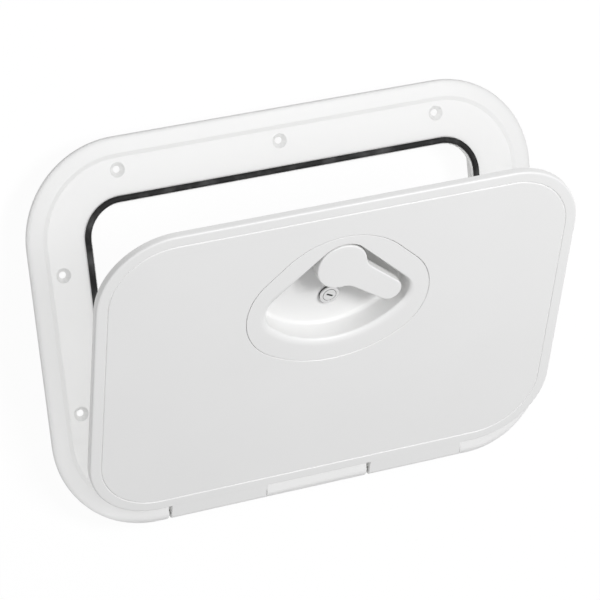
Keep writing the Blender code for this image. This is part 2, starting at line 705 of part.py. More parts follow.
def build_handle(hatch, hinge, handle):
    """The lever, its spindle in a bush through the cup's floor, and the latch cam."""
    middle = (0.0, SPINDLE_Y, LID_FACE)
    head_foot = -LEVER_DROP - LEVER_THICKNESS
    lever = plate("handle_lever", [lever_outline()], head_foot, -LEVER_DROP)
    lever = soften(hatch.piece(lever, "white_plastic", handle), LEVER_EDGE_ROUND)
    hub = plate("lever_hub", [circle(HUB_RADIUS, ROUND_STEPS)], HUB_FOOT, head_foot + BITE)
    combine(lever, hatch.tool(hub, handle), "UNION")
    pocket = BUSH_BORE + ORING_THICKNESS + FIT
    pocket = plate("oring_pocket", [circle(pocket, ROUND_STEPS)], HUB_FOOT - BITE, ORING_POCKET)
    combine(lever, hatch.tool(pocket, handle), "DIFFERENCE")
    socket_top = JOURNAL_TOP + SPINDLE_SOCKET_DEPTH
    socket = plate("lever_socket", [square(SPINDLE_SQUARE, FIT)], HUB_FOOT, socket_top + FIT)
    combine(lever, hatch.tool(socket, handle), "DIFFERENCE")

    spindle = plate("handle_spindle", [square(SPINDLE_SQUARE)], CAM_FOOT + FIT, socket_top)
    spindle = hatch.piece(spindle, "stainless", handle)
    journal = plate("spindle_journal", [circle(SPINDLE_RADIUS, ROUND_STEPS)], CAM_TOP + FIT, JOURNAL_TOP)
    combine(spindle, hatch.tool(journal, handle), "UNION")
    screw_end = CAM_SCREW_TOP + CAM_SCREW_LENGTH
    tapping = circle(CAM_SCREW_RADIUS + FIT, SMALL_ROUND_STEPS)
    tapping = plate("spindle_tapping", [tapping], CAM_FOOT, screw_end + FIT)
    combine(spindle, hatch.tool(tapping, handle), "DIFFERENCE")

    bush = [
        (BUSH_BORE, BUSH_TOP),
        (BUSH_FLANGE_RADIUS, BUSH_TOP),
        (BUSH_FLANGE_RADIUS, CUP_TOP + FIT),
        (BUSH_SLEEVE, CUP_TOP + FIT),
        (BUSH_SLEEVE, BUSH_FOOT),
        (BUSH_BORE, BUSH_FOOT),
    ]
    bush = hatch.piece(profile_mesh("handle_bush", bush, True), "grey_acetal", hinge, middle)
    turn(bush, ROUND_STEPS)
    half = ORING_THICKNESS / 2
    ring = [(BUSH_BORE + half + x, ORING_CENTRE - y) for x, y in circle(half, CORNER_STEPS)]
    ring = hatch.piece(profile_mesh("handle_oring", ring, True), "black_rubber", hinge, middle)
    turn(ring, ROUND_STEPS)
    foot = THRUST_TOP - THRUST_WASHER_THICKNESS
    thrust = ring_profile(BUSH_BORE, BUSH_FLANGE_RADIUS, foot, THRUST_TOP)
    thrust = hatch.piece(profile_mesh("handle_washer", thrust, True), "grey_acetal", hinge, middle)
    turn(thrust, ROUND_STEPS)
    build_latch(hatch, handle, screw_end)


def build_latch(hatch, handle, screw_end):
    """The latch cam, with the washer and screw that hold it on the spindle."""
    coaming_y = HALF_WIDTH - COAMING_INSET - HINGE_Y
    reach = coaming_y - SPINDLE_Y - CAM_WALL_GAP - CAM_TIP_RADIUS
    outline = arc_outline([
        (reach, 0.0, CAM_TIP_RADIUS),
        (0.0, 0.0, CAM_HUB_RADIUS),
        (-CAM_TAIL_LENGTH, 0.0, CAM_TAIL_RADIUS),
        (0.0, 0.0, CAM_HUB_RADIUS),
    ])
    lean = math.radians(CAM_DEGREES)
    turned = [(x * math.cos(lean) - y * math.sin(lean), x * math.sin(lean) + y * math.cos(lean))
              for x, y in outline]
    cam = plate("latch_cam", [turned, square(SPINDLE_SQUARE, FIT)], CAM_FOOT, CAM_TOP)
    hatch.piece(cam, "grey_acetal", handle)
    foot = CAM_WASHER_TOP - CAM_WASHER_THICKNESS
    washer = ring_profile(CAM_SCREW_RADIUS + FIT, CAM_WASHER_RADIUS, foot, CAM_WASHER_TOP)
    washer = hatch.piece(profile_mesh("cam_washer", washer, True), "stainless", handle)
    turn(washer, SMALL_ROUND_STEPS)
    screw = screw_profile(CAM_SCREW_RADIUS, screw_end, CAM_SCREW_TOP,
                          CAM_SCREW_HEAD_RADIUS, CAM_SCREW_HEAD_HEIGHT)
    turn(hatch.piece(profile_mesh("cam_screw", screw, False), "stainless", handle), SMALL_ROUND_STEPS)


def screw_profile(radius, end, seat, head_radius, head_height):
    """Profile of a screw that points up, with a domed head below its seat."""
    profile = [(0.0, end), (radius, end), (radius, seat), (head_radius, seat)]
    rim = head_height * SCREW_HEAD_RIM_SHARE
    for step in range(DOME_STEPS):
        angle = math.radians(90) * step / DOME_STEPS
        drop = rim + (head_height - rim) * math.sin(angle)
        profile.append((head_radius * math.cos(angle), seat - drop))
    profile.append((0.0, seat - head_height))
    return profile


def build_lock(hatch, hinge, lock):
    """The lock's body, clamped through the cup's floor, and the plug that turns in it."""
    middle = (0.0, LOCK_Y, LID_FACE)
    bore = PLUG_RADIUS + FIT
    recess = PLUG_HEAD_RADIUS + FIT
    shelf = LOCK_FACE - PLUG_HEAD_THICKNESS - FIT
    body = [
        (recess, LOCK_FACE),
        (LOCK_FLANGE_RADIUS, LOCK_FACE),
        (LOCK_FLANGE_RADIUS, LOCK_FLANGE_FOOT),
        (LOCK_BARREL_RADIUS, LOCK_FLANGE_FOOT),
        (LOCK_BARREL_RADIUS, LOCK_BARREL_FOOT),
        (bore, LOCK_BARREL_FOOT),
        (bore, shelf),
        (recess, shelf),
    ]
    body = hatch.piece(profile_mesh("lock_body", body, True), "chromed", hinge, middle)
    turn(body, ROUND_STEPS)
    hole = LOCK_BARREL_RADIUS + FIT
    seal = ring_profile(hole, LOCK_FLANGE_RADIUS, LOCK_SEAL_FOOT, LOCK_SEAL_FOOT + LOCK_SEAL_THICKNESS)
    seal = hatch.piece(profile_mesh("lock_seal", seal, True), "black_rubber", hinge, middle)
    turn(seal, ROUND_STEPS)
    foot = LOCK_WASHER_TOP - LOCK_WASHER_THICKNESS
    washer = ring_profile(hole, LOCK_WASHER_RADIUS, foot, LOCK_WASHER_TOP)
    washer = hatch.piece(profile_mesh("lock_washer", washer, True), "stainless", hinge, middle)
    turn(washer, ROUND_STEPS)
    hexagon = circle(LOCK_NUT_WIDTH / 2 / math.cos(math.pi / LOCK_NUT_SIDES), LOCK_NUT_SIDES)
    nut = [hexagon, circle(hole, SMALL_ROUND_STEPS)]
    nut = plate("lock_nut", nut, LOCK_NUT_TOP - LOCK_NUT_HEIGHT, LOCK_NUT_TOP)
    hatch.piece(nut, "stainless", hinge, middle)
    build_plug(hatch, lock)


def build_plug(hatch, lock):
    """The lock's plug with its keyway, and the cam that holds the latch."""
    head_foot = LOCK_FACE - PLUG_HEAD_THICKNESS
    plug = [
        (0.0, LOCK_FACE),
        (PLUG_HEAD_RADIUS, LOCK_FACE),
        (PLUG_HEAD_RADIUS, head_foot),
        (PLUG_RADIUS, head_foot),
        (PLUG_RADIUS, LOCK_BARREL_FOOT),
        (0.0, LOCK_BARREL_FOOT),
    ]
    plug = turn(hatch.piece(profile_mesh("lock_plug", plug, False), "chromed", lock), ROUND_STEPS)
    tail = plate("plug_tail", [square(PLUG_SQUARE)], LOCK_CAM_FOOT + FIT, LOCK_BARREL_FOOT + BITE)
    combine(plug, hatch.tool(tail, lock), "UNION")
    half = KEYWAY_WIDTH / 2
    reach = KEYWAY_LENGTH / 2
    keyway = box("keyway", (-reach, -half, LOCK_FACE - KEYWAY_DEPTH), (reach, half, LOCK_FACE + BITE))
    combine(plug, hatch.tool(keyway, lock), "DIFFERENCE")
    screw_end = LOCK_SCREW_TOP + LOCK_SCREW_LENGTH
    tapping = circle(LOCK_SCREW_RADIUS + FIT, SMALL_ROUND_STEPS)
    tapping = plate("plug_tapping", [tapping], LOCK_CAM_FOOT, screw_end + FIT)
    combine(plug, hatch.tool(tapping, lock), "DIFFERENCE")

    outline = arc_outline([
        (LOCK_CAM_LENGTH, 0.0, LOCK_CAM_TIP_RADIUS),
        (0.0, 0.0, LOCK_CAM_HUB_RADIUS),
    ])
    cam = plate("lock_cam", [outline, square(PLUG_SQUARE, FIT)], LOCK_CAM_FOOT, LOCK_CAM_TOP)
    hatch.piece(cam, "stainless", lock)
    foot = LOCK_CAM_WASHER_TOP - LOCK_CAM_WASHER_THICKNESS
    washer = ring_profile(LOCK_SCREW_RADIUS + FIT, LOCK_CAM_WASHER_RADIUS, foot, LOCK_CAM_WASHER_TOP)
    washer = hatch.piece(profile_mesh("lock_cam_washer", washer, True), "stainless", lock)
    turn(washer, SMALL_ROUND_STEPS)
    screw = screw_profile(LOCK_SCREW_RADIUS, screw_end, LOCK_SCREW_TOP,
                          LOCK_SCREW_HEAD_RADIUS, LOCK_SCREW_HEAD_HEIGHT)
    screw = hatch.piece(profile_mesh("lock_cam_screw", screw, False), "stainless", lock)
    turn(screw, SMALL_ROUND_STEPS)


def main():
    """Clear the scene and build the hatch with its lid ajar."""
    for thing in list(bpy.data.objects):
        bpy.data.objects.remove(thing)
    hatch = Assembly()
    build_frame(hatch)
    build_gasket(hatch)
    build_pins(hatch)
    hinge = hatch.joint("lid_hinge", (0.0, HINGE_Y, DECK + HINGE_HEIGHT))
    hinge.rotation_euler.x = math.radians(LID_REST_DEGREES)
    handle = hatch.joint("handle_turn", (0.0, SPINDLE_Y, LID_FACE), hinge)
    handle.rotation_euler.z = math.radians(LEVER_REST_DEGREES)
    lock = hatch.joint("lock_turn", (0.0, LOCK_Y, LID_FACE), hinge)
    lock.rotation_euler.z = math.radians(LOCK_REST_DEGREES)
    build_lid(hatch, hinge)
    build_cup(hatch, hinge)
    build_handle(hatch, hinge, handle)
    build_lock(hatch, hinge, lock)


main()
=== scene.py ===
"""Finished look of the deck hatch: satin white mouldings, black rubber and bright metal.

Each operator makes one piece, or one group of like pieces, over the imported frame, and the last
one sets the floor, the lights and the camera. Lengths are in metres. Heights of the frame count
from the deck's surface, and heights in the lid from its upper face.
"""

import json
import math

import bmesh
import bpy
from bpy.props import FloatProperty, FloatVectorProperty, PointerProperty
from mathutils import Matrix, Vector


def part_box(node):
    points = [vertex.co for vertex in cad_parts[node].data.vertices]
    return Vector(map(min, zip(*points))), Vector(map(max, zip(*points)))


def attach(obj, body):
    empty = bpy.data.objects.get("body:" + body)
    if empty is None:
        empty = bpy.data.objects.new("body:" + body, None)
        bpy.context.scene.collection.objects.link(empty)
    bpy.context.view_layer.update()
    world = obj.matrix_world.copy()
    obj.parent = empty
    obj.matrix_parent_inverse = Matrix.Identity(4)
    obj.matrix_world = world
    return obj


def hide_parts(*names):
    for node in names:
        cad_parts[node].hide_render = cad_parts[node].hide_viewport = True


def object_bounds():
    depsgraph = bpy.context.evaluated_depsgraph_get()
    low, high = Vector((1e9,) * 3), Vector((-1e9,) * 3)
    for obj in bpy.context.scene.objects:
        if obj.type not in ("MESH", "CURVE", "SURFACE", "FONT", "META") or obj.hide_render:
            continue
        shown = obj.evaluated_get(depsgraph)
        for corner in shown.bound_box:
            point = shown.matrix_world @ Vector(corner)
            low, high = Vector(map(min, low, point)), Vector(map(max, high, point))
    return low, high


bl_info = {
    "name": "Deck Hatch",
    "version": (1, 0, 0),
    "blender": (4, 5, 0),
    "location": "View3D > Sidebar > Hatch",
    "description": "Dresses a packed deck hatch in moulded plastic, rubber and metal",
    "category": "Object",
}

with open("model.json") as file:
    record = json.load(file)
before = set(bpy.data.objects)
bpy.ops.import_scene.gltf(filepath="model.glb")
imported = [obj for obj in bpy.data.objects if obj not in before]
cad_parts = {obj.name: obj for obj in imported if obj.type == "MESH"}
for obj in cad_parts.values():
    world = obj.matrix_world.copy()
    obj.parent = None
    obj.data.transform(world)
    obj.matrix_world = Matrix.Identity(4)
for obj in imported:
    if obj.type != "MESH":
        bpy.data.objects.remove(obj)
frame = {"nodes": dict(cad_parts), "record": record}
CAD_BOX = [list(corner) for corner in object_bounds()]

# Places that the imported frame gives.
JOINTS = {joint["name"]: joint for joint in frame["record"]["behaviour"]["joints"]}
MOUNTS = {mount["name"]: mount for mount in frame["record"]["mounts"]}
BODIES = frame["record"]["behaviour"]["bodies"]
BODY_OF = {node: body for body, nodes in BODIES.items() for node in nodes}
SLOT_OF = {part["node"]: part["material_slot"] for part in frame["record"]["subparts"]}
COLOUR_OF = {entry["slot"]: entry["base_color"] for entry in frame["record"]["materials"]}
DECK = MOUNTS["deck_flange"]["pos_m"][2]
HINGE = Vector(JOINTS["lid_hinge"]["pos_m"])
LID_TURN = Matrix.Rotation(math.radians(-JOINTS["lid_hinge"]["range_deg"][0]), 4, "X")
LID_PLACE = Matrix.Translation(HINGE) @ LID_TURN
SPINDLE = LID_PLACE.inverted() @ Vector(JOINTS["handle_turn"]["pos_m"])
LOCK = LID_PLACE.inverted() @ Vector(JOINTS["lock_turn"]["pos_m"])
LEVER_SWEEP = math.radians(-JOINTS["handle_turn"]["range_deg"][0])
LEVER_REST = (LEVER_SWEEP - math.pi) / 2
CUP_PLACE = LID_PLACE @ Matrix.Translation(SPINDLE)
LOCK_PLACE = LID_PLACE @ Matrix.Translation(LOCK)
LEVER_PLACE = CUP_PLACE @ Matrix.Rotation(LEVER_REST, 4, "Z")
HALF_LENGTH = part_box("frame")[1].x
HALF_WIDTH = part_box("frame")[1].y
LID_INSET = HALF_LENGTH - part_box("lid")[1].x

# Fineness of round shapes.
CORNER_STEPS = 24
STRIP_STEPS = 6
SOFT_STEP = math.radians(15)
ARC_STEP = math.radians(4)
ROUND_STEPS = 64
LIP_STEPS = 8
QUARTER = [math.radians(90) * step / LIP_STEPS for step in range(LIP_STEPS + 1)]

# Angles at which an edge counts as sharp and a joint between faces as flat.
SHARP_ANGLE = math.radians(32)
FLAT_ANGLE = math.radians(1)

# Reach of cutters past a surface, distance at which points merge, radius at which a bar's ends
# close, share of a side that one rounding may take, and the pull of large faces on the shading.
BITE = 0.001
WELD = 0.000005
AXIS = 0.00001
SIDE_SHARE = 0.49
FLAT_PULL = 100

# A screw's cross recess, as shares of its head's radius.
RECESS_REACH = 0.55
RECESS_WIDTH = 0.11
RECESS_DEPTH = 0.44

# Sockets of a node that mixes two colours, and the middle level of a noise.
MIX_SHARE, MIX_FIRST, MIX_SECOND, MIX_RESULT = 0, 6, 7, 2
MIDDLE = 0.5
WHITE = (1.0, 1.0, 1.0, 1.0)


def length(name, description, default):
    """A length that can be set in the sidebar."""
    return FloatProperty(name=name, description=description, default=default,
                         min=0.0, precision=4, unit="LENGTH")


def share(name, description, default):
    """A plain number that can be set in the sidebar."""
    return FloatProperty(name=name, description=description, default=default, min=0.0, precision=3)


def turning(name, description, default):
    """An angle that can be set in the sidebar."""
    return FloatProperty(name=name, description=description, default=default, subtype="ANGLE")


def point(name, description, default):
    """A place or a direction that can be set in the sidebar."""
    return FloatVectorProperty(name=name, description=description, default=default,
                               subtype="TRANSLATION")


def paint(name, description, default):
    """A colour that can be set in the sidebar."""
    return FloatVectorProperty(name=name, description=description, default=default,
                               size=3, min=0.0, max=1.0, subtype="COLOR")


class FrameSizes(bpy.types.PropertyGroup):
    """Sizes of the frame and its gasket."""

    corner_radius: length("Corner radius", "Outer corner of the flange", 0.0685)
    flange: length("Flange", "Thickness of the flange on the deck", 0.003)
    rim_height: length("Rim height", "Height of the rim's inner edge", 0.0041)
    rim_shoulder: length("Rim shoulder", "Height of the rim's outer edge", 0.0036)
    rim_width: length("Rim width", "Width of the raised rim", 0.0114)
    rim_round: length("Rim round", "Rounding of the rim's outer edge", 0.0056)
    rim_step: length("Rim step", "Width of the step down to the flange's floor", 0.003)
    opening_inset: length("Opening inset", "Outer edge to the opening's lip", 0.0459)
    lip_overhang: length("Lip overhang", "Lip's reach past the coaming", 0.0085)
    coaming_wall: length("Coaming wall", "Thickness of the coaming", 0.003)
    groove_inset: length("Groove inset", "Outer edge to the gasket's groove", 0.0404)
    groove_width: length("Groove width", "Width of the gasket's groove", 0.0048)
    groove_depth: length("Groove depth", "Depth of the gasket's groove", 0.0012)
    gasket_width: length("Gasket width", "Width of the rubber strip", 0.0042)
    gasket_round: length("Gasket round", "Rounding of the rubber strip", 0.0017)
    screw_line: length("Screw line", "Outer edge to the screw holes", 0.023)
    screw_long: length("Screw spacing", "Spacing along the long sides", 0.118)
    screw_side: length("Side spacing", "Spacing along the short sides", 0.0986)
    screw_hole: length("Screw hole", "Radius of a screw hole", 0.0024)
    countersink: length("Countersink", "Radius of a countersink", 0.00525)
    edge_soft: length("Edge softness", "Rounding of the frame's small edges", 0.0003)
    catch_length: length("Catch length", "Length of the rib that the cam turns under", 0.044)
    catch_wall: length("Catch wall", "Thickness of the catch's rib", 0.003)
    catch_gap: length("Catch gap", "Gap between the catch and the cam", 0.0004)


class HingeSizes(bpy.types.PropertyGroup):
    """Sizes of the hinge."""

    tab_spacing: length("Tab spacing", "Middle to middle of the lid's hinge tabs", 0.150)
    tab_length: length("Tab length", "Length of a hinge tab", 0.071)
    tab_gap: length("Tab gap", "Gap at each end of a tab", 0.0014)
    tab_thickness: length("Tab thickness", "Thickness of a tab beside its knuckle", 0.0036)
    knuckle: length("Knuckle", "Radius of a tab's knuckle", 0.0043)
    knuckle_gap: length("Knuckle gap", "Clearance round a knuckle", 0.0007)
    rail_rise: length("Rail rise", "How far the rim rises to form the hinge rail", 0.0046)
    rail_slope: share("Rail slope", "Share of its rise that the rail loses at its outer edge", 0.5)
    rail_end: length("Rail end", "Rail's reach past a tab at full height", 0.009)
    rail_ramp: length("Rail ramp", "Length of the rail's slope back to the rim", 0.036)
    pin_bore: length("Pin bore", "Radius of the bore for a pin", 0.0018)
    pin_reach: length("Pin reach", "Depth of a pin's bore past a tab", 0.0098)


class LidSizes(bpy.types.PropertyGroup):
    """Sizes of the lid and its finger cup."""

    edge_height: length("Edge height", "Height of the lid's side", 0.0058)
    edge_round: length("Edge round", "Rounding of the lid's upper edge", 0.0016)
    skin: length("Skin", "Thickness of the lid's plate", 0.0028)
    wall: length("Wall", "Thickness of the lid's side", 0.003)
    border_inset: length("Border inset", "Edge to the line round the panel", 0.0082)
    line_width: length("Line width", "Width of the moulded lines", 0.0008)
    line_depth: length("Line depth", "Depth of the moulded lines", 0.0008)
    rib_thickness: length("Rib thickness", "Thickness of the ribs underneath", 0.0022)
    rib_depth: length("Rib depth", "Depth of the ribs underneath", 0.0045)
    rib_gap: length("Rib gap", "Gap between the ribs and the opening", 0.009)
    cross_rib_spacing: length("Cross rib spacing", "Left to right cross rib", 0.170)
    long_rib_spacing: length("Long rib spacing", "Spacing of the long ribs", 0.045)
    cup_depth: length("Cup depth", "Depth of the finger cup", 0.018)
    cup_wall: length("Cup wall", "Thickness of the cup's side", 0.002)
    cup_floor: length("Cup floor", "Thickness of the cup's floor", 0.0022)
    cup_apex: length("Cup apex", "Radius of the cup round the lever's head", 0.0193)
    cup_corner: length("Cup corner", "Radius of the cup's lower corners", 0.0165)
    cup_out: length("Cup corner out", "Corner's distance to the side of the spindle", 0.0355)
    cup_back: length("Cup corner back", "Corner's distance behind the spindle", 0.0312)
    cup_reach: length("Cup reach", "Spindle to the cup's hinge side", 0.0627)
    cup_round: length("Cup round", "Rounding between the cup's side and floor", 0.003)
    lip_lean: share("Lip lean", "How far the lip's narrow part leans to the right", 0.25)
    lip_near: length("Apex lip", "Width of the rounded lip at the apex", 0.0009)
    lip_far: length("Corner lip", "Width of the rounded lip at the lower corners", 0.0055)
    lip_depth: length("Lip depth", "Depth of the rounded lip", 0.0027)
    insert_apex: length("Insert apex", "Radius of the insert's upper arc", 0.058)
    insert_top: length("Insert top", "Spindle to the insert's latch side", 0.0267)
    insert_corner: length("Insert corner", "Radius of the insert's corners", 0.041)
    insert_out: length("Insert corner out", "Corner's distance to the side", 0.0255)
    insert_back: length("Insert corner back", "Corner's distance behind the spindle", 0.0324)
    insert_reach: length("Insert reach", "Spindle to the insert's hinge side", 0.0811)
    insert_flange: length("Insert flange", "Thickness of the insert's flange", 0.0014)
    insert_ledge: length("Insert ledge", "Width of the ledge that the insert sits on", 0.003)
    insert_gap: length("Insert gap", "Gap round the insert", 0.0003)
    insert_soft: length("Insert edge", "Rounding beside the gap", 0.00035)
    spindle_hole: length("Spindle hole", "Radius of the hole for the bush", 0.0065)
    lock_hole: length("Lock hole", "Radius of the hole for the lock", 0.0058)


class LeverSizes(bpy.types.PropertyGroup):
    """Sizes of the lever."""

    drop: length("Drop", "Lever's top below the lid's face", 0.0003)
    thickness: length("Thickness", "Thickness of the lever", 0.008)
    head: length("Head", "Radius of the lever's head", 0.018)
    reach: length("Reach", "Spindle to the middle of the tip", 0.0474)
    tip: length("Tip", "Radius of the lever's tip", 0.0085)
    root: length("Root", "Half width of the arm at the head", 0.0098)
    fillet: length("Fillet", "Radius between the arm and the head", 0.012)
    edge_round: length("Edge round", "Rounding of the upper edge", 0.0013)
    foot_round: length("Foot round", "Rounding of the lower edge", 0.0006)
    hub: length("Hub", "Radius of the hub under the head", 0.011)
    hub_gap: length("Hub gap", "Cup's floor to the hub", 0.0016)
    pocket: length("Pocket", "Radius of the pocket for the seal", 0.0074)
    pocket_depth: length("Pocket depth", "Depth of the pocket for the seal", 0.0025)
    socket: length("Socket", "Width of the square socket", 0.007)
    socket_depth: length("Socket depth", "Depth of the square socket", 0.0118)


class Finishes(bpy.types.PropertyGroup):
    """Colours and surfaces."""

    white: paint("White plastic", "Frame, lid and lever", COLOUR_OF["white_plastic"])
    black: paint("Black rubber", "Gasket and seals", COLOUR_OF["black_rubber"])
    grey: paint("Grey plastic", "Bush, washer and cam", COLOUR_OF["grey_acetal"])
    steel: paint("Stainless steel", "Screws, pins and spindle", COLOUR_OF["stainless"])
    chrome: paint("Chrome", "Lock", COLOUR_OF["chromed"])
    white_dull: share("Dull white", "Brightness of the white where it is dullest", 0.965)
    white_roughness: share("White roughness", "Roughness of the white mouldings", 0.42)
    tone_scale: share("Tone scale", "Changes of the white's tone along a metre", 14.0)
    tone_sheen: share("Tone sheen", "Change of roughness with the white's tone", 0.08)
    grain: length("Grain", "Size of the mouldings' fine grain", 0.0004)
    grain_depth: length("Grain depth", "Depth of the mouldings' fine grain", 0.000008)
    grain_sheen: share("Grain sheen", "Change of roughness over the fine grain", 0.14)
    # The rubber's palest level and its pale patches are painted highlights: lighter base colour in
    # random patches, standing in for grey highlights on the rubber.
    black_deep: share("Deep black", "Brightness of the rubber where it is darkest", 0.4)
    black_highlight: share("Pale black", "Brightness of the rubber where it is palest", 3.5)
    black_gloss: share("Rubber gloss", "Strength of the rubber's reflections", 0.25)
    black_roughness: share("Rubber roughness", "Roughness of the rubber", 0.62)
    highlight_patch_scale: share("Bloom scale", "Pale patches of the rubber along a metre", 60.0)
    highlight_patch_start: share("Bloom start", "Level at which a pale patch starts", 0.45)
    highlight_patch_contrast: share("Bloom contrast", "How sharply a pale patch ends", 4.0)
    highlight_patch_sheen: share("Bloom sheen", "Change of roughness over the pale patches", 0.2)
    skin_scale: share("Skin scale", "Marks in the rubber's skin along a metre", 1800.0)
    skin_depth: length("Skin depth", "Depth of the marks in the rubber's skin", 0.00003)
    grey_dull: share("Dull grey", "Brightness of the grey where it is dullest", 0.85)
    grey_roughness: share("Grey roughness", "Least roughness of the grey plastic", 0.36)
    flow_scale: share("Flow scale", "Flow marks of the grey plastic along a metre", 220.0)
    flow_sheen: share("Flow sheen", "Change of roughness over the flow marks", 0.16)
    metal_dull: share("Dull metal", "Brightness of the metal where it is dullest", 0.82)
    steel_smooth: share("Smooth steel", "Least roughness of the steel", 0.2)
    steel_rough: share("Rough steel", "Most roughness of the steel", 0.42)
    chrome_smooth: share("Smooth chrome", "Least roughness of the chrome", 0.06)
    chrome_rough: share("Rough chrome", "Most roughness of the chrome", 0.16)
    mark_along: share("Marks along", "Marks in the metal along a metre of their length", 120.0)
    mark_across: share("Marks across", "Marks in the metal across a metre", 2600.0)
    edge: length("Broken edge", "Rounding of the small pieces' edges", 0.0002)


class StageSizes(bpy.types.PropertyGroup):
    """Floor, lights and camera."""

    floor_size: length("Floor size", "Width of the floor", 12.0)
    target_x: FloatProperty(name="Target X", description="Point that the camera looks at",
                            default=0.00376, unit="LENGTH")
    target_y: FloatProperty(name="Target Y", description="Point that the camera looks at",
                            default=-0.00084, unit="LENGTH")
    distance: length("Distance", "Camera to its target", 1.9378)
    azimuth: turning("Azimuth", "Camera's direction from the target", math.radians(140.963))
    elevation: turning("Elevation", "Camera's height over the deck", math.radians(65.37))
    roll: turning("Roll", "Camera's turn about its own axis", math.radians(120.443))
    lens: share("Lens", "Focal length in millimetres", 165.414)
    sensor: share("Sensor", "Width of the sensor in millimetres", 36.0)
    zenith: share("Overhead", "Strength of the even light from above", 0.5)
    horizon: share("Horizon", "Strength of the even light from the sides", 0.1)
    light: paint("Light", "Colour of the light", (0.988, 0.988, 1.0))
    fill: share("Fill", "Strength of the broad fill light", 0.42)
    fill_way: point("Fill direction", "Where the fill light comes from", (-0.7, 0.15, 0.7))
    key: share("Key", "Power of the light for all pieces, in watts", 3.0)
    lift: share("Lift", "Power of the light for all but the frame, in watts", 20.5)
    key_place: point("Key place", "Where these two lights hang", (0.7, 0.45, 1.8))
    wash: share("Wash", "Power of the frame's own shadowless light, in watts", 3.3)
    wash_place: point("Wash place", "Where the frame's own light hangs", (0.12, 0.06, 0.75))
    key_size: length("Lamp size", "Width of each light", 0.6)
    bounce: share("Bounce", "How much light the floor sends back", 0.62)
    shadow: share("Shadow", "How much of its shadow the floor keeps", 0.06)
    shadow_reach: length("Shadow reach", "Distance at which the shadow starts to fade", 0.35)


class HatchSettings(bpy.types.PropertyGroup):
    """All sizes and colours of the finished hatch."""

    frame: PointerProperty(type=FrameSizes)
    hinge: PointerProperty(type=HingeSizes)
    lid: PointerProperty(type=LidSizes)
    lever: PointerProperty(type=LeverSizes)
    finish: PointerProperty(type=Finishes)
    stage: PointerProperty(type=StageSizes)


class Wire:
    """A node socket that can stand in a sum, and a maker of other nodes in the same tree."""

    def __init__(self, tree, socket=None):
        self.tree = tree
        self.socket = socket

    def node(self, kind, inputs=None, output=0, **settings):
        """The output of a new node whose inputs are values or other sockets."""
        made = self.tree.nodes.new(kind)
        for key, value in settings.items():
            setattr(made, key, value)
        for key, value in (inputs or {}).items():
            if isinstance(value, Wire):
                self.tree.links.new(value.socket, made.inputs[key])
            else:
                made.inputs[key].default_value = value
        return Wire(self.tree, made.outputs[output])

    def maths(self, operation, first, second):
        """The result of a sum."""
        return self.node("ShaderNodeMath", {0: first, 1: second}, operation=operation)

    def __add__(self, other):
        return self.maths("ADD", self, other)

    def __radd__(self, other):
        return self.maths("ADD", other, self)

    def __sub__(self, other):
        return self.maths("SUBTRACT", self, other)

    def __rsub__(self, other):
        return self.maths("SUBTRACT", other, self)

    def __mul__(self, other):
        return self.maths("MULTIPLY", self, other)

    def __rmul__(self, other):
        return self.maths("MULTIPLY", other, self)

    def __truediv__(self, other):
        return self.maths("DIVIDE", self, other)

    def __rtruediv__(self, other):
        return self.maths("DIVIDE", other, self)


def eased(value):
    """A number held between 0 and 1, with a soft start and end."""
    held = min(1.0, max(0.0, value))
    return held * held * (3 - 2 * held)


def soft_line(corners, closed):
    """Points of a line through (across, height, radius) corners, each rounded by its radius."""
    points = []
    last = len(corners) - 1
    for index, (across, height, radius) in enumerate(corners):
        here = Vector((across, height))
        if radius == 0.0 or (not closed and index in (0, last)):
            points.append(here)
            continue
        before = Vector(corners[index - 1][:2]) - here
        after = Vector(corners[(index + 1) % len(corners)][:2]) - here
        turn = math.pi - before.angle(after)
        cut = radius * math.tan(turn / 2)
        start = here + before.normalized() * min(cut, before.length * SIDE_SHARE)
        end = here + after.normalized() * min(cut, after.length * SIDE_SHARE)
        steps = max(2, math.ceil(turn / SOFT_STEP))
        for step in range(steps + 1):
            t = step / steps
            points.append(start * (1 - t) ** 2 + here * 2 * t * (1 - t) + end * t ** 2)
    return [(point.x, point.y) for point in points]


def rounded_rectangle(half_x, half_y, radius):
    """Points of a rounded rectangle about the origin, turning left."""
    points = []
    for quarter, (side_x, side_y) in enumerate(((1, 1), (-1, 1), (-1, -1), (1, -1))):
        for step in range(CORNER_STEPS + 1):
            angle = math.radians(90) * (quarter + step / CORNER_STEPS)
            x = side_x * (half_x - radius) + radius * math.cos(angle)
            y = side_y * (half_y - radius) + radius * math.sin(angle)
            points.append((x, y))
    return points


def tangent_angle(first, second):
    """Direction square to the line that touches two round corners, seen from their centres."""
    across = second[0] - first[0]
    along = second[1] - first[1]
    lean = (first[2] - second[2]) / math.hypot(across, along)
    return math.atan2(along, across) - math.acos(max(-1.0, min(1.0, lean)))


def arc_outline(corners):
    """Points and outward directions round corners given as (x, y, radius), turning left.

    A corner with a negative radius is hollow.
    """
    places = []
    for index, (x, y, radius) in enumerate(corners):
        start = tangent_angle(corners[index - 1], corners[index])
        turn = tangent_angle(corners[index], corners[(index + 1) % len(corners)]) - start
        turn = turn % math.tau if radius > 0 else -(-turn % math.tau)
        steps = max(2, math.ceil(abs(turn) / ARC_STEP))
        for step in range(steps + 1):
            angle = start + turn * step / steps
            away = Vector((math.cos(angle), math.sin(angle)))
            places.append((Vector((x, y)) + away * radius, away))
    return places


def bowed_corners(apex, corner, out, back, reach):
    """Corners of an outline with a round apex, two lower corners and a bowed lower side."""
    spare = reach - back - corner
    bow = (out ** 2 - spare ** 2) / (2 * spare) - back
    return [apex, (-out, -back, corner), (0.0, bow, bow + reach), (out, -back, corner)]


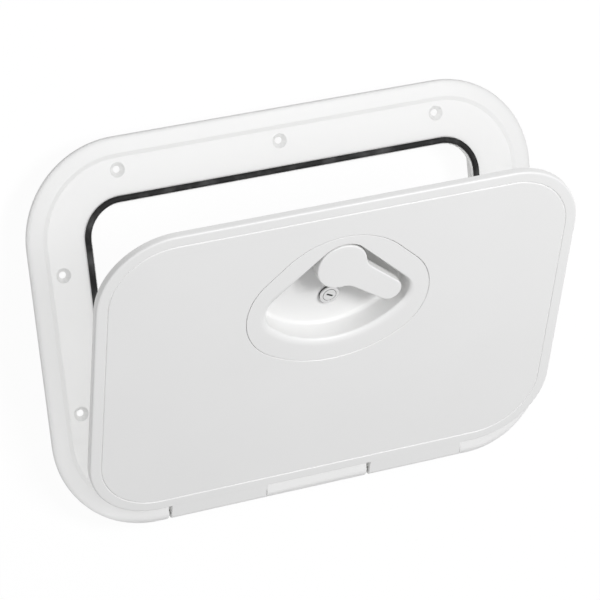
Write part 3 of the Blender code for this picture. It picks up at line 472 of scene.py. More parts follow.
def cup_outline(sizes):
    """The finger cup's outline about the spindle."""
    apex = (0.0, 0.0, sizes.cup_apex)
    return arc_outline(bowed_corners(apex, sizes.cup_corner, sizes.cup_out, sizes.cup_back,
                                     sizes.cup_reach))


def insert_outline(sizes):
    """The outline of the cup's insert, about the spindle."""
    apex = (0.0, sizes.insert_top - sizes.insert_apex, sizes.insert_apex)
    return arc_outline(bowed_corners(apex, sizes.insert_corner, sizes.insert_out,
                                     sizes.insert_back, sizes.insert_reach))


def lever_outline(sizes):
    """The lever's outline about the spindle: a round head and a tapered arm along X."""
    rise = sizes.root + sizes.fillet
    run = math.sqrt((sizes.head + sizes.fillet) ** 2 - rise ** 2)
    return arc_outline([
        (sizes.reach, 0.0, sizes.tip),
        (run, rise, -sizes.fillet),
        (0.0, 0.0, sizes.head),
        (run, -rise, -sizes.fillet),
    ])


def grown(outline, offset, height):
    """Points of an outline moved outwards, at a height."""
    rise = Vector((0.0, 0.0, height))
    return [(place + away * offset).to_3d() + rise for place, away in outline]


def new_mesh(name, shape):
    """A mesh from a finished shape, with its doubles merged and its faces outwards."""
    bmesh.ops.remove_doubles(shape, verts=shape.verts, dist=WELD)
    bmesh.ops.recalc_face_normals(shape, faces=shape.faces)
    mesh = bpy.data.meshes.new(name)
    shape.to_mesh(mesh)
    shape.free()
    return mesh


def ring_mesh(name, rings, closed):
    """A skin over rings of points, joined end to end or capped."""
    shape = bmesh.new()
    rows = [[shape.verts.new(point) for point in ring] for ring in rings]
    count = len(rows[0])
    for index in range(len(rows) if closed else len(rows) - 1):
        row = rows[index]
        above = rows[(index + 1) % len(rows)]
        for step in range(count):
            after = (step + 1) % count
            shape.faces.new((row[step], row[after], above[after], above[step]))
    if not closed:
        shape.faces.new(rows[0])
        shape.faces.new(rows[-1])
    return new_mesh(name, shape)


def block(name, low, high):
    """A block between two opposite corners."""
    shape = bmesh.new()
    bmesh.ops.create_cube(shape, size=1.0)
    for vertex in shape.verts:
        for axis in range(3):
            vertex.co[axis] = high[axis] if vertex.co[axis] > 0 else low[axis]
    return new_mesh(name, shape)


def turned(name, profile, place=Matrix.Identity(4)):
    """A round piece about Z from (radius, height) points, moved to its place."""
    rings = []
    for radius, height in profile:
        turns = [math.tau * step / ROUND_STEPS for step in range(ROUND_STEPS)]
        rings.append([(radius * math.cos(t), radius * math.sin(t), height) for t in turns])
    mesh = ring_mesh(name, rings, False)
    mesh.transform(place)
    return mesh


def bar(name, radius, start, end):
    """A round bar along X through the origin."""
    profile = [(AXIS, start), (radius, start), (radius, end), (AXIS, end)]
    return turned(name, profile, Matrix.Rotation(math.radians(90), 4, "Y"))


def show(name, mesh):
    """An object for a mesh, in the scene."""
    thing = bpy.data.objects.new(name, mesh)
    bpy.context.scene.collection.objects.link(thing)
    return thing


def settle(thing):
    """Turn an object's modifiers into plain mesh."""
    graph = bpy.context.evaluated_depsgraph_get()
    mesh = bpy.data.meshes.new_from_object(thing.evaluated_get(graph), depsgraph=graph)
    thing.modifiers.clear()
    thing.data = mesh
    return thing


def combine(thing, mesh, operation):
    """Cut a shape from a piece or join it on."""
    tool = show(mesh.name, mesh)
    change = thing.modifiers.new("change", "BOOLEAN")
    change.solver = "EXACT"
    change.operation = operation
    change.object = tool
    settle(thing)
    bpy.data.objects.remove(tool)


def soften(thing, width, segments=3):
    """Round an object's sharp edges."""
    bevel = thing.modifiers.new("soften", "BEVEL")
    bevel.width = width
    bevel.segments = segments
    bevel.limit_method = "ANGLE"
    bevel.angle_limit = SHARP_ANGLE
    return settle(thing)


def softened(mesh, width):
    """A mesh with its sharp edges rounded."""
    thing = soften(show(mesh.name, mesh), width)
    soft = thing.data
    bpy.data.objects.remove(thing)
    return soft


def geometry_tree(name, inputs):
    """A new geometry node tree with its inputs as wires, by name."""
    tree = bpy.data.node_groups.new(name, "GeometryNodeTree")
    for label, kind in inputs:
        tree.interface.new_socket(label, in_out="INPUT", socket_type=kind)
    tree.interface.new_socket("Geometry", in_out="OUTPUT", socket_type="NodeSocketGeometry")
    entry = tree.nodes.new("NodeGroupInput")
    return tree, {label: Wire(tree, entry.outputs[label]) for label, kind in inputs}


def grow(thing, tree, values):
    """Run a geometry node tree on an object with its named inputs set, and keep the mesh."""
    change = thing.modifiers.new(tree.name, "NODES")
    change.node_group = tree
    for item in tree.interface.items_tree:
        if item.in_out == "INPUT" and item.name in values:
            change[item.identifier] = values[item.name]
    return settle(thing)


def strip_tree():
    """Nodes for a rubber strip: a soft section carried round a rounded rectangle."""
    sockets = [
        ("Geometry", "NodeSocketGeometry"),
        ("Length", "NodeSocketFloat"),
        ("Width", "NodeSocketFloat"),
        ("Corner", "NodeSocketFloat"),
        ("Strip Width", "NodeSocketFloat"),
        ("Strip Height", "NodeSocketFloat"),
        ("Strip Round", "NodeSocketFloat"),
        ("Centre", "NodeSocketVector"),
        ("Material", "NodeSocketMaterial"),
    ]
    tree, given = geometry_tree("rubber_strip", sockets)
    maker = Wire(tree)
    path = maker.node("GeometryNodeCurvePrimitiveQuadrilateral",
                      {"Width": given["Length"], "Height": given["Width"]})
    path = maker.node("GeometryNodeFilletCurve",
                      {"Curve": path, "Radius": given["Corner"], "Count": 2 * CORNER_STEPS},
                      mode="POLY")
    path = maker.node("GeometryNodeSetCurveNormal", {"Curve": path}, mode="Z_UP")
    section = maker.node("GeometryNodeCurvePrimitiveQuadrilateral",
                         {"Width": given["Strip Width"], "Height": given["Strip Height"]})
    section = maker.node("GeometryNodeFilletCurve",
                         {"Curve": section, "Radius": given["Strip Round"], "Count": STRIP_STEPS},
                         mode="POLY")
    strip = maker.node("GeometryNodeCurveToMesh", {"Curve": path, "Profile Curve": section})
    strip = maker.node("GeometryNodeTransform",
                       {"Geometry": strip, "Translation": given["Centre"]})
    strip = maker.node("GeometryNodeRealizeInstances", {"Geometry": strip})
    strip = maker.node("GeometryNodeSetMaterial",
                       {"Geometry": strip, "Material": given["Material"]})
    leave = tree.nodes.new("NodeGroupOutput")
    tree.links.new(strip.socket, leave.inputs["Geometry"])
    return tree


def hole_tree():
    """Nodes for a row of round cutters: a cone, or a rod, on every point."""
    sockets = [
        ("Geometry", "NodeSocketGeometry"),
        ("Foot Radius", "NodeSocketFloat"),
        ("Head Radius", "NodeSocketFloat"),
        ("Height", "NodeSocketFloat"),
        ("Foot", "NodeSocketVector"),
        ("Material", "NodeSocketMaterial"),
    ]
    tree, given = geometry_tree("round_cutters", sockets)
    maker = Wire(tree)
    cone = maker.node("GeometryNodeMeshCone",
                      {"Vertices": ROUND_STEPS, "Radius Top": given["Head Radius"],
                       "Radius Bottom": given["Foot Radius"], "Depth": given["Height"]})
    cone = maker.node("GeometryNodeTransform", {"Geometry": cone, "Translation": given["Foot"]})
    spots = maker.node("GeometryNodeMeshToPoints", {"Mesh": given["Geometry"]})
    row = maker.node("GeometryNodeInstanceOnPoints", {"Points": spots, "Instance": cone})
    row = maker.node("GeometryNodeRealizeInstances", {"Geometry": row})
    row = maker.node("GeometryNodeSetMaterial", {"Geometry": row, "Material": given["Material"]})
    leave = tree.nodes.new("NodeGroupOutput")
    tree.links.new(row.socket, leave.inputs["Geometry"])
    return tree


def material(name):
    """An empty material with a maker for its nodes."""
    made = bpy.data.materials.new(name)
    made.use_nodes = True
    return made, Wire(made.node_tree), made.node_tree.nodes["Principled BSDF"]


def connect(maker, shader, values):
    """Feed a shader's inputs from wires."""
    for key, wire in values.items():
        maker.tree.links.new(wire.socket, shader.inputs[key])


def tinted(colour, level=1.0):
    """A colour for a node, at a share of its brightness."""
    return (*[level * channel for channel in colour], 1.0)


def noise(maker, scale, detail, place=None):
    """Soft random patches over a surface."""
    place = place or maker.node("ShaderNodeTexCoord", output="Object")
    return maker.node("ShaderNodeTexNoise", {"Vector": place, "Scale": scale, "Detail": detail})


def between(maker, mask, first, second):
    """A colour between two others."""
    return maker.node("ShaderNodeMix", {MIX_SHARE: mask, MIX_FIRST: first, MIX_SECOND: second},
                      MIX_RESULT, data_type="RGBA")


def relief(maker, height, depth):
    """A fine relief in a surface."""
    return maker.node("ShaderNodeBump", {"Height": height, "Distance": depth, "Strength": 1.0})


def white_plastic(look):
    """Satin white moulding with a fine grain and a faint change of tone."""
    made, maker, shader = material("white_plastic_finish")
    tone = noise(maker, look.tone_scale, detail=3.0)
    grain = noise(maker, 1 / look.grain, detail=2.0)
    sheen = (grain - MIDDLE) * look.grain_sheen + (tone - MIDDLE) * look.tone_sheen
    dull = tinted(look.white, look.white_dull)
    connect(maker, shader, {
        "Base Color": between(maker, tone, tinted(look.white), dull),
        "Roughness": look.white_roughness + sheen,
        "Normal": relief(maker, grain, look.grain_depth),
    })
    return made


def black_rubber(look):
    """Matt black rubber with a slightly uneven skin, and random pale patches of painted highlight.
    """
    made, maker, shader = material("black_rubber_finish")
    shader.inputs["Specular IOR Level"].default_value = look.black_gloss
    highlight_patch = noise(maker, look.highlight_patch_scale, detail=4.0)
    skin = noise(maker, look.skin_scale, detail=2.0)
    # Painted highlight: random patches of the rubber's base colour are made lighter, in place of
    # highlights.
    painted_highlights = (highlight_patch - look.highlight_patch_start) * look.highlight_patch_contrast
    deep = tinted(look.black, look.black_deep)
    pale = tinted(look.black, look.black_highlight)
    connect(maker, shader, {
        "Base Color": between(maker, painted_highlights, deep, pale),
        "Roughness": look.black_roughness + (highlight_patch - MIDDLE) * look.highlight_patch_sheen,
        "Normal": relief(maker, skin, look.skin_depth),
    })
    return made


def grey_acetal(look):
    """Smooth grey plastic with faint flow marks."""
    made, maker, shader = material("grey_acetal_finish")
    flow = noise(maker, look.flow_scale, detail=3.0)
    connect(maker, shader, {
        "Base Color": between(maker, flow, tinted(look.grey), tinted(look.grey, look.grey_dull)),
        "Roughness": look.grey_roughness + flow * look.flow_sheen,
    })
    return made


def metal(name, look, colour, smooth, rough):
    """Bare or plated metal with fine marks along one direction."""
    made, maker, shader = material(name)
    shader.inputs["Metallic"].default_value = 1.0
    place = maker.node("ShaderNodeTexCoord", output="Object")
    scale = (look.mark_along, look.mark_across, look.mark_across)
    drawn = maker.node("ShaderNodeMapping", {"Vector": place, "Scale": scale})
    marks = noise(maker, 1.0, detail=2.0, place=drawn)
    connect(maker, shader, {
        "Base Color": between(maker, marks, tinted(colour), tinted(colour, look.metal_dull)),
        "Roughness": smooth + marks * (rough - smooth),
    })
    return made


def stainless(look):
    """Drawn stainless steel."""
    return metal("stainless_finish", look, look.steel, look.steel_smooth, look.steel_rough)


def chromed(look):
    """Bright chrome plate."""
    return metal("chromed_finish", look, look.chrome, look.chrome_smooth, look.chrome_rough)


FINISHES = {
    "white_plastic": white_plastic,
    "black_rubber": black_rubber,
    "grey_acetal": grey_acetal,
    "stainless": stainless,
    "chromed": chromed,
}


def finish_material(slot, look):
    """The material for one of the record's slots, made once."""
    return bpy.data.materials.get(slot + "_finish") or FINISHES[slot](look)


def dress(thing, node, look):
    """Give a finished piece clean faces, smooth shading, its material and its place."""
    shape = bmesh.new()
    shape.from_mesh(thing.data)
    bmesh.ops.remove_doubles(shape, verts=shape.verts, dist=WELD)
    bmesh.ops.dissolve_degenerate(shape, edges=shape.edges, dist=WELD)
    many_sided = [face for face in shape.faces if len(face.verts) > 4]
    bmesh.ops.triangulate(shape, faces=many_sided)
    shape.to_mesh(thing.data)
    shape.free()
    thing.data.shade_smooth()
    thing.data.set_sharp_from_angle(angle=SHARP_ANGLE)
    even = thing.modifiers.new("even", "WEIGHTED_NORMAL")
    even.keep_sharp = True
    even.weight = FLAT_PULL
    settle(thing)
    thing.data.materials.clear()
    thing.data.materials.append(finish_material(SLOT_OF[node], look))
    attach(thing, BODY_OF[node])
    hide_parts(node)


def copy_of(node, look):
    """A copy of a CAD node with its flat faces joined and its edges broken."""
    shape = bmesh.new()
    shape.from_mesh(frame["nodes"][node].data)
    bmesh.ops.remove_doubles(shape, verts=shape.verts, dist=WELD)
    bmesh.ops.dissolve_limit(shape, angle_limit=FLAT_ANGLE, verts=shape.verts, edges=shape.edges)
    thing = show(node + "_visual", new_mesh(node + "_visual", shape))
    return soften(thing, look.edge)


def frame_section(sizes):
    """The frame's cross-section as (inset, height, rounding) corners."""
    floor = sizes.flange
    start = sizes.groove_inset
    end = start + sizes.groove_width
    bed = floor - sizes.groove_depth
    inner = sizes.opening_inset - sizes.lip_overhang
    outer = inner - sizes.coaming_wall
    recess = sizes.rim_width + sizes.rim_step
    fine = sizes.edge_soft
    return [
        (0.0, 0.0, fine),
        (0.0, sizes.rim_shoulder, sizes.rim_round),
        (sizes.rim_width, sizes.rim_height, sizes.rim_step / 2),
        (recess, floor, sizes.rim_step / 2),
        (start, floor, fine),
        (start, bed, fine),
        (end, bed, fine),
        (end, floor, fine),
        (sizes.opening_inset, floor, 2 * fine),
        (sizes.opening_inset, 0.0, fine),
        (inner, 0.0, 2 * fine),
        (inner, -DECK, fine),
        (outer, -DECK, fine),
        (outer, 0.0, 3 * fine),
    ]


def inset_ring(half_x, half_y, radius, inset, centre_y, height):
    """Points of a rounded rectangle moved inwards, at a height."""
    outline = rounded_rectangle(half_x - inset, half_y - inset, radius - inset)
    return [(x, y + centre_y, height) for x, y in outline]


def screw_places(sizes):
    """Points at the mouths of the screw holes."""
    row = HALF_WIDTH - sizes.screw_line
    column = HALF_LENGTH - sizes.screw_line
    half = sizes.screw_side / 2
    places = []
    for side in (-1, 1):
        places += [(x, side * row) for x in (-sizes.screw_long, 0.0, sizes.screw_long)]
        places += [(side * column, y) for y in (-half, half)]
    mesh = bpy.data.meshes.new("screw_places")
    mesh.from_pydata([(x, y, DECK + sizes.flange) for x, y in places], [], [])
    return mesh


class HATCH_OT_frame(bpy.types.Operator):
    """Mould the flanged frame with its hinge rail, screw holes and catch"""

    bl_idname = "hatch.frame"
    bl_label = "Frame"

    def execute(self, context):
        hatch = context.scene.hatch
        sizes = hatch.frame
        rings = []
        for inset, height in soft_line(frame_section(sizes), True):
            ring = inset_ring(HALF_LENGTH, HALF_WIDTH, sizes.corner_radius, inset, 0.0,
                              DECK + height)
            if inset < sizes.rim_width + sizes.rim_step and height > sizes.flange:
                over = (height - sizes.flange) / (sizes.rim_height - sizes.flange)
                slope = 1 - hatch.hinge.rail_slope * (1 - inset / sizes.rim_width)
                ring = self.raised(ring, min(over, slope, 1.0), hatch.hinge)
            rings.append(ring)
        thing = show("frame_visual", ring_mesh("frame_visual", rings, True))
        self.hinge(thing, sizes, hatch.hinge)
        self.holes(thing, sizes, hatch.finish)
        self.catch(thing, sizes)
        dress(thing, "frame", hatch.finish)
        return {"FINISHED"}

    def raised(self, ring, over, hinge):
        """A ring of the rim, lifted along the hinge side to form the hinge rail."""
        full = (hinge.tab_spacing + hinge.tab_length) / 2 + hinge.rail_end
        points = []
        for x, y, z in ring:
            near = eased(1 - (abs(x) - full) / hinge.rail_ramp) if y < 0 else 0.0
            points.append((x, y, z + near * over * hinge.rail_rise))
        return points

    def hinge(self, thing, sizes, hinge):
        """Cut the room for the lid's tabs and the bores for the pins."""
        tab_end = (hinge.tab_spacing + hinge.tab_length) / 2
        tab_start = tab_end - hinge.tab_length
        back = HINGE.y + hinge.knuckle + hinge.knuckle_gap
        recess = sizes.rim_width + sizes.rim_step - HALF_WIDTH
        floor = DECK + sizes.flange
        above = HINGE.z + 2 * hinge.knuckle
        for side in (-1, 1):
            ends = sorted((side * (tab_start - hinge.tab_gap), side * (tab_end + hinge.tab_gap)))
            slot = block("slot", (ends[0], -HALF_WIDTH - BITE, DECK - BITE),
                         (ends[1], back, above))
            combine(thing, slot, "DIFFERENCE")
            dip = block("dip", (ends[0], back - BITE, floor), (ends[1], recess, above))
            combine(thing, dip, "DIFFERENCE")
            reach = sorted((side * (tab_start - hinge.pin_reach),
                            side * (tab_end + hinge.pin_reach)))
            bore = bar("bore", hinge.pin_bore, *reach)
            bore.transform(Matrix.Translation(HINGE))
            combine(thing, bore, "DIFFERENCE")

    def holes(self, thing, sizes, look):
        """Cut the countersunk screw holes."""
        tree = hole_tree()
        plastic = finish_material("white_plastic", look)
        depth = sizes.countersink - sizes.screw_hole
        cones = grow(show("cones", screw_places(sizes)), tree, {
            "Foot Radius": sizes.screw_hole,
            "Head Radius": sizes.countersink + BITE,
            "Height": depth + BITE,
            "Foot": (0.0, 0.0, -depth),
            "Material": plastic,
        })
        rods = grow(show("rods", screw_places(sizes)), tree, {
            "Foot Radius": sizes.screw_hole,
            "Head Radius": sizes.screw_hole,
            "Height": sizes.flange + 2 * BITE,
            "Foot": (0.0, 0.0, -sizes.flange - BITE),
            "Material": plastic,
        })
        for cutter in (cones, rods):
            combine(thing, cutter.data, "DIFFERENCE")
            bpy.data.objects.remove(cutter)

    def catch(self, thing, sizes):
        """Join on the rib that the latch cam turns under, with a web at each end."""
        cam = frame["nodes"]["latch_cam"].data
        lowered = CUP_PLACE.inverted()
        cam_top = max((lowered @ vertex.co).z for vertex in cam.vertices)
        foot = HINGE.z + SPINDLE.z + cam_top + sizes.catch_gap
        head = DECK + sizes.flange / 2
        half = sizes.catch_length / 2
        front = HALF_WIDTH - sizes.opening_inset + sizes.edge_soft
        rib = block("rib", (-half, front, foot), (half, front + sizes.catch_wall, head))
        combine(thing, rib, "UNION")
        wall = HALF_WIDTH - sizes.opening_inset + sizes.lip_overhang + sizes.coaming_wall / 2
        for side in (-1, 1):
            edge = half - sizes.edge_soft
            ends = sorted((side * edge, side * (edge - sizes.catch_wall)))
            web = block("web", (ends[0], front + BITE, foot + BITE), (ends[1], wall, head))
            combine(thing, web, "UNION")


class HATCH_OT_gasket(bpy.types.Operator):
    """Lay the rubber strip in the frame's groove"""

    bl_idname = "hatch.gasket"
    bl_label = "Gasket"

    def execute(self, context):
        hatch = context.scene.hatch
        sizes = hatch.frame
        low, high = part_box("gasket")
        middle = HALF_LENGTH - high.x + sizes.gasket_width / 2
        thing = grow(show("gasket_visual", bpy.data.meshes.new("gasket_visual")), strip_tree(), {
            "Length": 2 * (HALF_LENGTH - middle),
            "Width": 2 * (HALF_WIDTH - middle),
            "Corner": sizes.corner_radius - middle,
            "Strip Width": sizes.gasket_width,
            "Strip Height": high.z - low.z,
            "Strip Round": sizes.gasket_round,
            "Centre": (0.0, 0.0, (low.z + high.z) / 2),
            "Material": finish_material("black_rubber", hatch.finish),
        })
        dress(thing, "gasket", hatch.finish)
        return {"FINISHED"}


class HATCH_OT_lid(bpy.types.Operator):
    """Mould the lid with its ribs, hinge tabs and the seat for the cup's insert"""

    bl_idname = "hatch.lid"
    bl_label = "Lid"

    def execute(self, context):
        hatch = context.scene.hatch
        sizes = hatch.lid
        thing = show("lid_visual", self.plate(sizes, hatch.frame))
        self.ribs(thing, sizes, hatch.frame)
        self.tabs(thing, sizes, hatch.hinge)
        self.seat(thing, sizes)
        thing.data.transform(LID_PLACE)
        dress(thing, "lid", hatch.finish)
        return {"FINISHED"}

    def plate(self, sizes, around):
        """The lid's plate with its side and the line round its panel."""
        half = sizes.line_width / 2
        fine = sizes.line_depth
        border = sizes.border_inset
        corners = [
            (border + sizes.wall, 0.0, 0.0),
            (border + half, 0.0, fine),
            (border, -sizes.line_depth, fine),
            (border - half, 0.0, fine),
            (0.0, 0.0, sizes.edge_round),
            (0.0, -sizes.edge_height, fine),
            (sizes.wall, -sizes.edge_height, fine),
            (sizes.wall, -sizes.skin, sizes.wall / 3),
            (2 * sizes.wall, -sizes.skin, 0.0),
        ]
        rings = []
        for inset, height in soft_line(corners, False):
            rings.append(inset_ring(HALF_LENGTH - LID_INSET, HALF_WIDTH - LID_INSET,
                                    around.corner_radius - LID_INSET, inset, -HINGE.y,
                                    SPINDLE.z + height))
        return ring_mesh("lid_visual", rings, False)

    def ribs(self, thing, sizes, around):
        """Join on the stiffening ribs underneath, the cross ribs a little shallower."""
        half = HALF_LENGTH - around.opening_inset - sizes.rib_gap
        start = around.opening_inset + sizes.rib_gap - HALF_WIDTH - HINGE.y
        end = HALF_WIDTH - around.opening_inset - sizes.rib_gap - HINGE.y
        head = SPINDLE.z - sizes.skin / 2
        foot = SPINDLE.z - sizes.skin - sizes.rib_depth
        width = sizes.rib_thickness / 2
        for index in range(2):
            y = start + index * sizes.long_rib_spacing
            rib = block("rib", (-half, y - width, foot), (half, y + width, head))
            combine(thing, rib, "UNION")
        for side in (-1, 0, 1):
            x = side * sizes.cross_rib_spacing / 2
            last = end if side else SPINDLE.y - sizes.insert_reach
            rib = block("rib", (x - width, start, foot + width / 4), (x + width, last, head))
            combine(thing, rib, "UNION")

    def tabs(self, thing, sizes, hinge):
        """Join on the hinge tabs, each bored for its pin."""
        end = sizes.wall / 2 - HINGE.y - (HALF_WIDTH - LID_INSET)
        low = hinge.knuckle - hinge.tab_thickness
        outline = [(end, low), (end, hinge.knuckle)]
        last = math.tau + math.asin(low / hinge.knuckle)
        steps = 2 * CORNER_STEPS
        for step in range(steps + 1):
            angle = math.radians(90) + (last - math.radians(90)) * step / steps
            outline.append((hinge.knuckle * math.cos(angle), hinge.knuckle * math.sin(angle)))
        for side in (-1, 1):
            middle = side * hinge.tab_spacing / 2
            half = hinge.tab_length / 2
            rings = [[(x, y, z) for y, z in outline] for x in (middle - half, middle + half)]
            tab = show("tab", softened(ring_mesh("tab", rings, False), sizes.line_depth))
            reach = half + BITE
            combine(tab, bar("bore", hinge.pin_bore, middle - reach, middle + reach), "DIFFERENCE")
            combine(thing, tab.data, "UNION")
            bpy.data.objects.remove(tab)

    def seat(self, thing, sizes):
        """Cut the hole for the insert, with a ledge under its flange."""
        outline = insert_outline(sizes)
        soft = sizes.insert_soft
        ledge = -sizes.insert_flange - sizes.insert_gap
        profile = [(soft, BITE), (soft, 0.0), (0.0, -soft), (0.0, ledge),
                   (-sizes.insert_ledge, ledge), (-sizes.insert_ledge, -sizes.skin - BITE)]
        rings = [grown(outline, offset, height) for offset, height in profile]
        mesh = ring_mesh("seat", rings, False)
        mesh.transform(Matrix.Translation(SPINDLE))
        combine(thing, mesh, "DIFFERENCE")


class HATCH_OT_cup(bpy.types.Operator):
    """Mould the insert with the finger cup"""

    bl_idname = "hatch.cup"
    bl_label = "Finger cup"

    def execute(self, context):
        hatch = context.scene.hatch
        sizes = hatch.lid
        around = insert_outline(sizes)
        inner = -sizes.insert_gap - sizes.insert_ledge
        profile = soft_line([(inner, 0.0, 0.0), (-sizes.insert_gap, 0.0, sizes.insert_soft),
                             (-sizes.insert_gap, -sizes.insert_flange, sizes.insert_soft),
                             (inner, -sizes.insert_flange, 0.0)], False)
        rings = [grown(around, offset, height) for offset, height in profile]
        thing = show("cup_insert_visual", ring_mesh("cup_insert_visual", rings, False))
        outline = cup_outline(sizes)
        foot = -sizes.cup_depth - sizes.cup_floor
        profile = soft_line([(-2 * sizes.cup_round, foot, 0.0),
                             (sizes.cup_wall, foot, sizes.cup_round),
                             (sizes.cup_wall, -sizes.insert_flange / 2, 0.0)], False)
        rings = [grown(outline, offset, height) for offset, height in profile]
        combine(thing, ring_mesh("shell", rings, False), "UNION")
        combine(thing, self.space(outline, sizes), "DIFFERENCE")
        head = -sizes.cup_depth + BITE
        lock = LOCK - SPINDLE
        for radius, place in ((sizes.spindle_hole, Vector()), (sizes.lock_hole, lock)):
            hole = turned("hole", [(radius, foot - BITE), (radius, head)],
                          Matrix.Translation(place))
            combine(thing, hole, "DIFFERENCE")
        thing.data.transform(CUP_PLACE)
        dress(thing, "cup_insert", hatch.finish)
        return {"FINISHED"}

    def space(self, outline, sizes):
        """The cup's hollow, with a lip that widens towards its lower corners."""
        levels = [(1.0, 0.0, 3 * BITE)]
        for angle in QUARTER:
            levels.append((1 - math.sin(angle), 0.0, -sizes.lip_depth * (1 - math.cos(angle))))
        for angle in QUARTER:
            inset = -sizes.cup_round * (1 - math.cos(angle))
            levels.append((0.0, inset, -sizes.cup_depth + sizes.cup_round * (1 - math.sin(angle))))
        rings = []
        for lip, inset, height in levels:
            ring = []
            for place, away in outline:
                lean = place.y + sizes.lip_lean * place.x
                near = eased(1 + lean / sizes.cup_back)
                width = sizes.lip_far + (sizes.lip_near - sizes.lip_far) * near
                point = place + away * (lip * width + inset)
                ring.append((point.x, point.y, height))
            rings.append(ring)
        return ring_mesh("cup", rings, False)


class HATCH_OT_lever(bpy.types.Operator):
    """Mould the lever with its hub"""

    bl_idname = "hatch.lever"
    bl_label = "Lever"

    def execute(self, context):
        hatch = context.scene.hatch
        sizes = hatch.lever
        outline = lever_outline(sizes)
        foot = -sizes.drop - sizes.thickness
        profile = soft_line([(-2 * sizes.edge_round, foot, 0.0), (0.0, foot, sizes.foot_round),
                             (0.0, -sizes.drop, sizes.edge_round),
                             (-2 * sizes.edge_round, -sizes.drop, 0.0)], False)
        rings = [grown(outline, offset, height) for offset, height in profile]
        thing = show("handle_lever_visual", ring_mesh("handle_lever_visual", rings, False))
        base = -hatch.lid.cup_depth + sizes.hub_gap
        combine(thing, turned("hub", [(sizes.hub, base), (sizes.hub, foot + BITE)]), "UNION")
        top = base + sizes.pocket_depth
        pocket = turned("pocket", [(sizes.pocket, base - BITE), (sizes.pocket, top)])
        combine(thing, pocket, "DIFFERENCE")
        half = sizes.socket / 2
        top = base + sizes.socket_depth
        combine(thing, block("socket", (-half, -half, base), (half, half, top)), "DIFFERENCE")
        thing.data.transform(LEVER_PLACE)
        dress(thing, "handle_lever", hatch.finish)
        return {"FINISHED"}


class HATCH_OT_latch(bpy.types.Operator):
    """Fit the spindle, its bush and seals, and the latch cam"""

    bl_idname = "hatch.latch"
    bl_label = "Latch"

    def execute(self, context):
        look = context.scene.hatch.finish
        for node in ("handle_bush", "handle_oring", "handle_washer", "handle_spindle", "latch_cam",
                     "cam_washer", "cam_screw"):
            thing = copy_of(node, look)
            if node == "cam_screw":
                drive_recess(thing, LEVER_PLACE)
            dress(thing, node, look)
        return {"FINISHED"}


class HATCH_OT_lock(bpy.types.Operator):
    """Fit the key lock with its seal, nut and cam"""

    bl_idname = "hatch.lock"
    bl_label = "Lock"

    def execute(self, context):
        look = context.scene.hatch.finish
        for node in ("lock_body", "lock_seal", "lock_washer", "lock_nut", "lock_plug", "lock_cam",
                     "lock_cam_washer", "lock_cam_screw"):
            thing = copy_of(node, look)
            if node == "lock_cam_screw":
                drive_recess(thing, LOCK_PLACE)
            dress(thing, node, look)
        return {"FINISHED"}


class HATCH_OT_pins(bpy.types.Operator):
    """Fit the two hinge pins"""

    bl_idname = "hatch.pins"
    bl_label = "Hinge pins"

    def execute(self, context):
        look = context.scene.hatch.finish
        for node in ("hinge_pin_left", "hinge_pin_right"):
            dress(copy_of(node, look), node, look)
        return {"FINISHED"}


def drive_recess(thing, place):
    """Cut a cross recess into the head of a screw that points up at its place."""
    lowered = place.inverted()
    heights = [(lowered @ vertex.co).z for vertex in thing.data.vertices]
    radii = [(lowered @ vertex.co).xy.length for vertex in thing.data.vertices]
    foot = min(heights)
    reach = RECESS_REACH * max(radii)
    width = RECESS_WIDTH * max(radii)
    depth = RECESS_DEPTH * max(radii)
    for across, along in ((reach, width), (width, reach)):
        arm = block("arm", (-across, -along, foot - BITE), (across, along, foot + depth))
        arm.transform(place)
        combine(thing, arm, "DIFFERENCE")


def shown(maker):
    """One where a surface is seen straight on, in a reflection or through glass."""
    rays = [maker.node("ShaderNodeLightPath", output=ray)
            for ray in ("Is Camera Ray", "Is Glossy Ray", "Is Transmission Ray")]
    return maker.node("ShaderNodeClamp", {"Value": rays[0] + rays[1] + rays[2]})


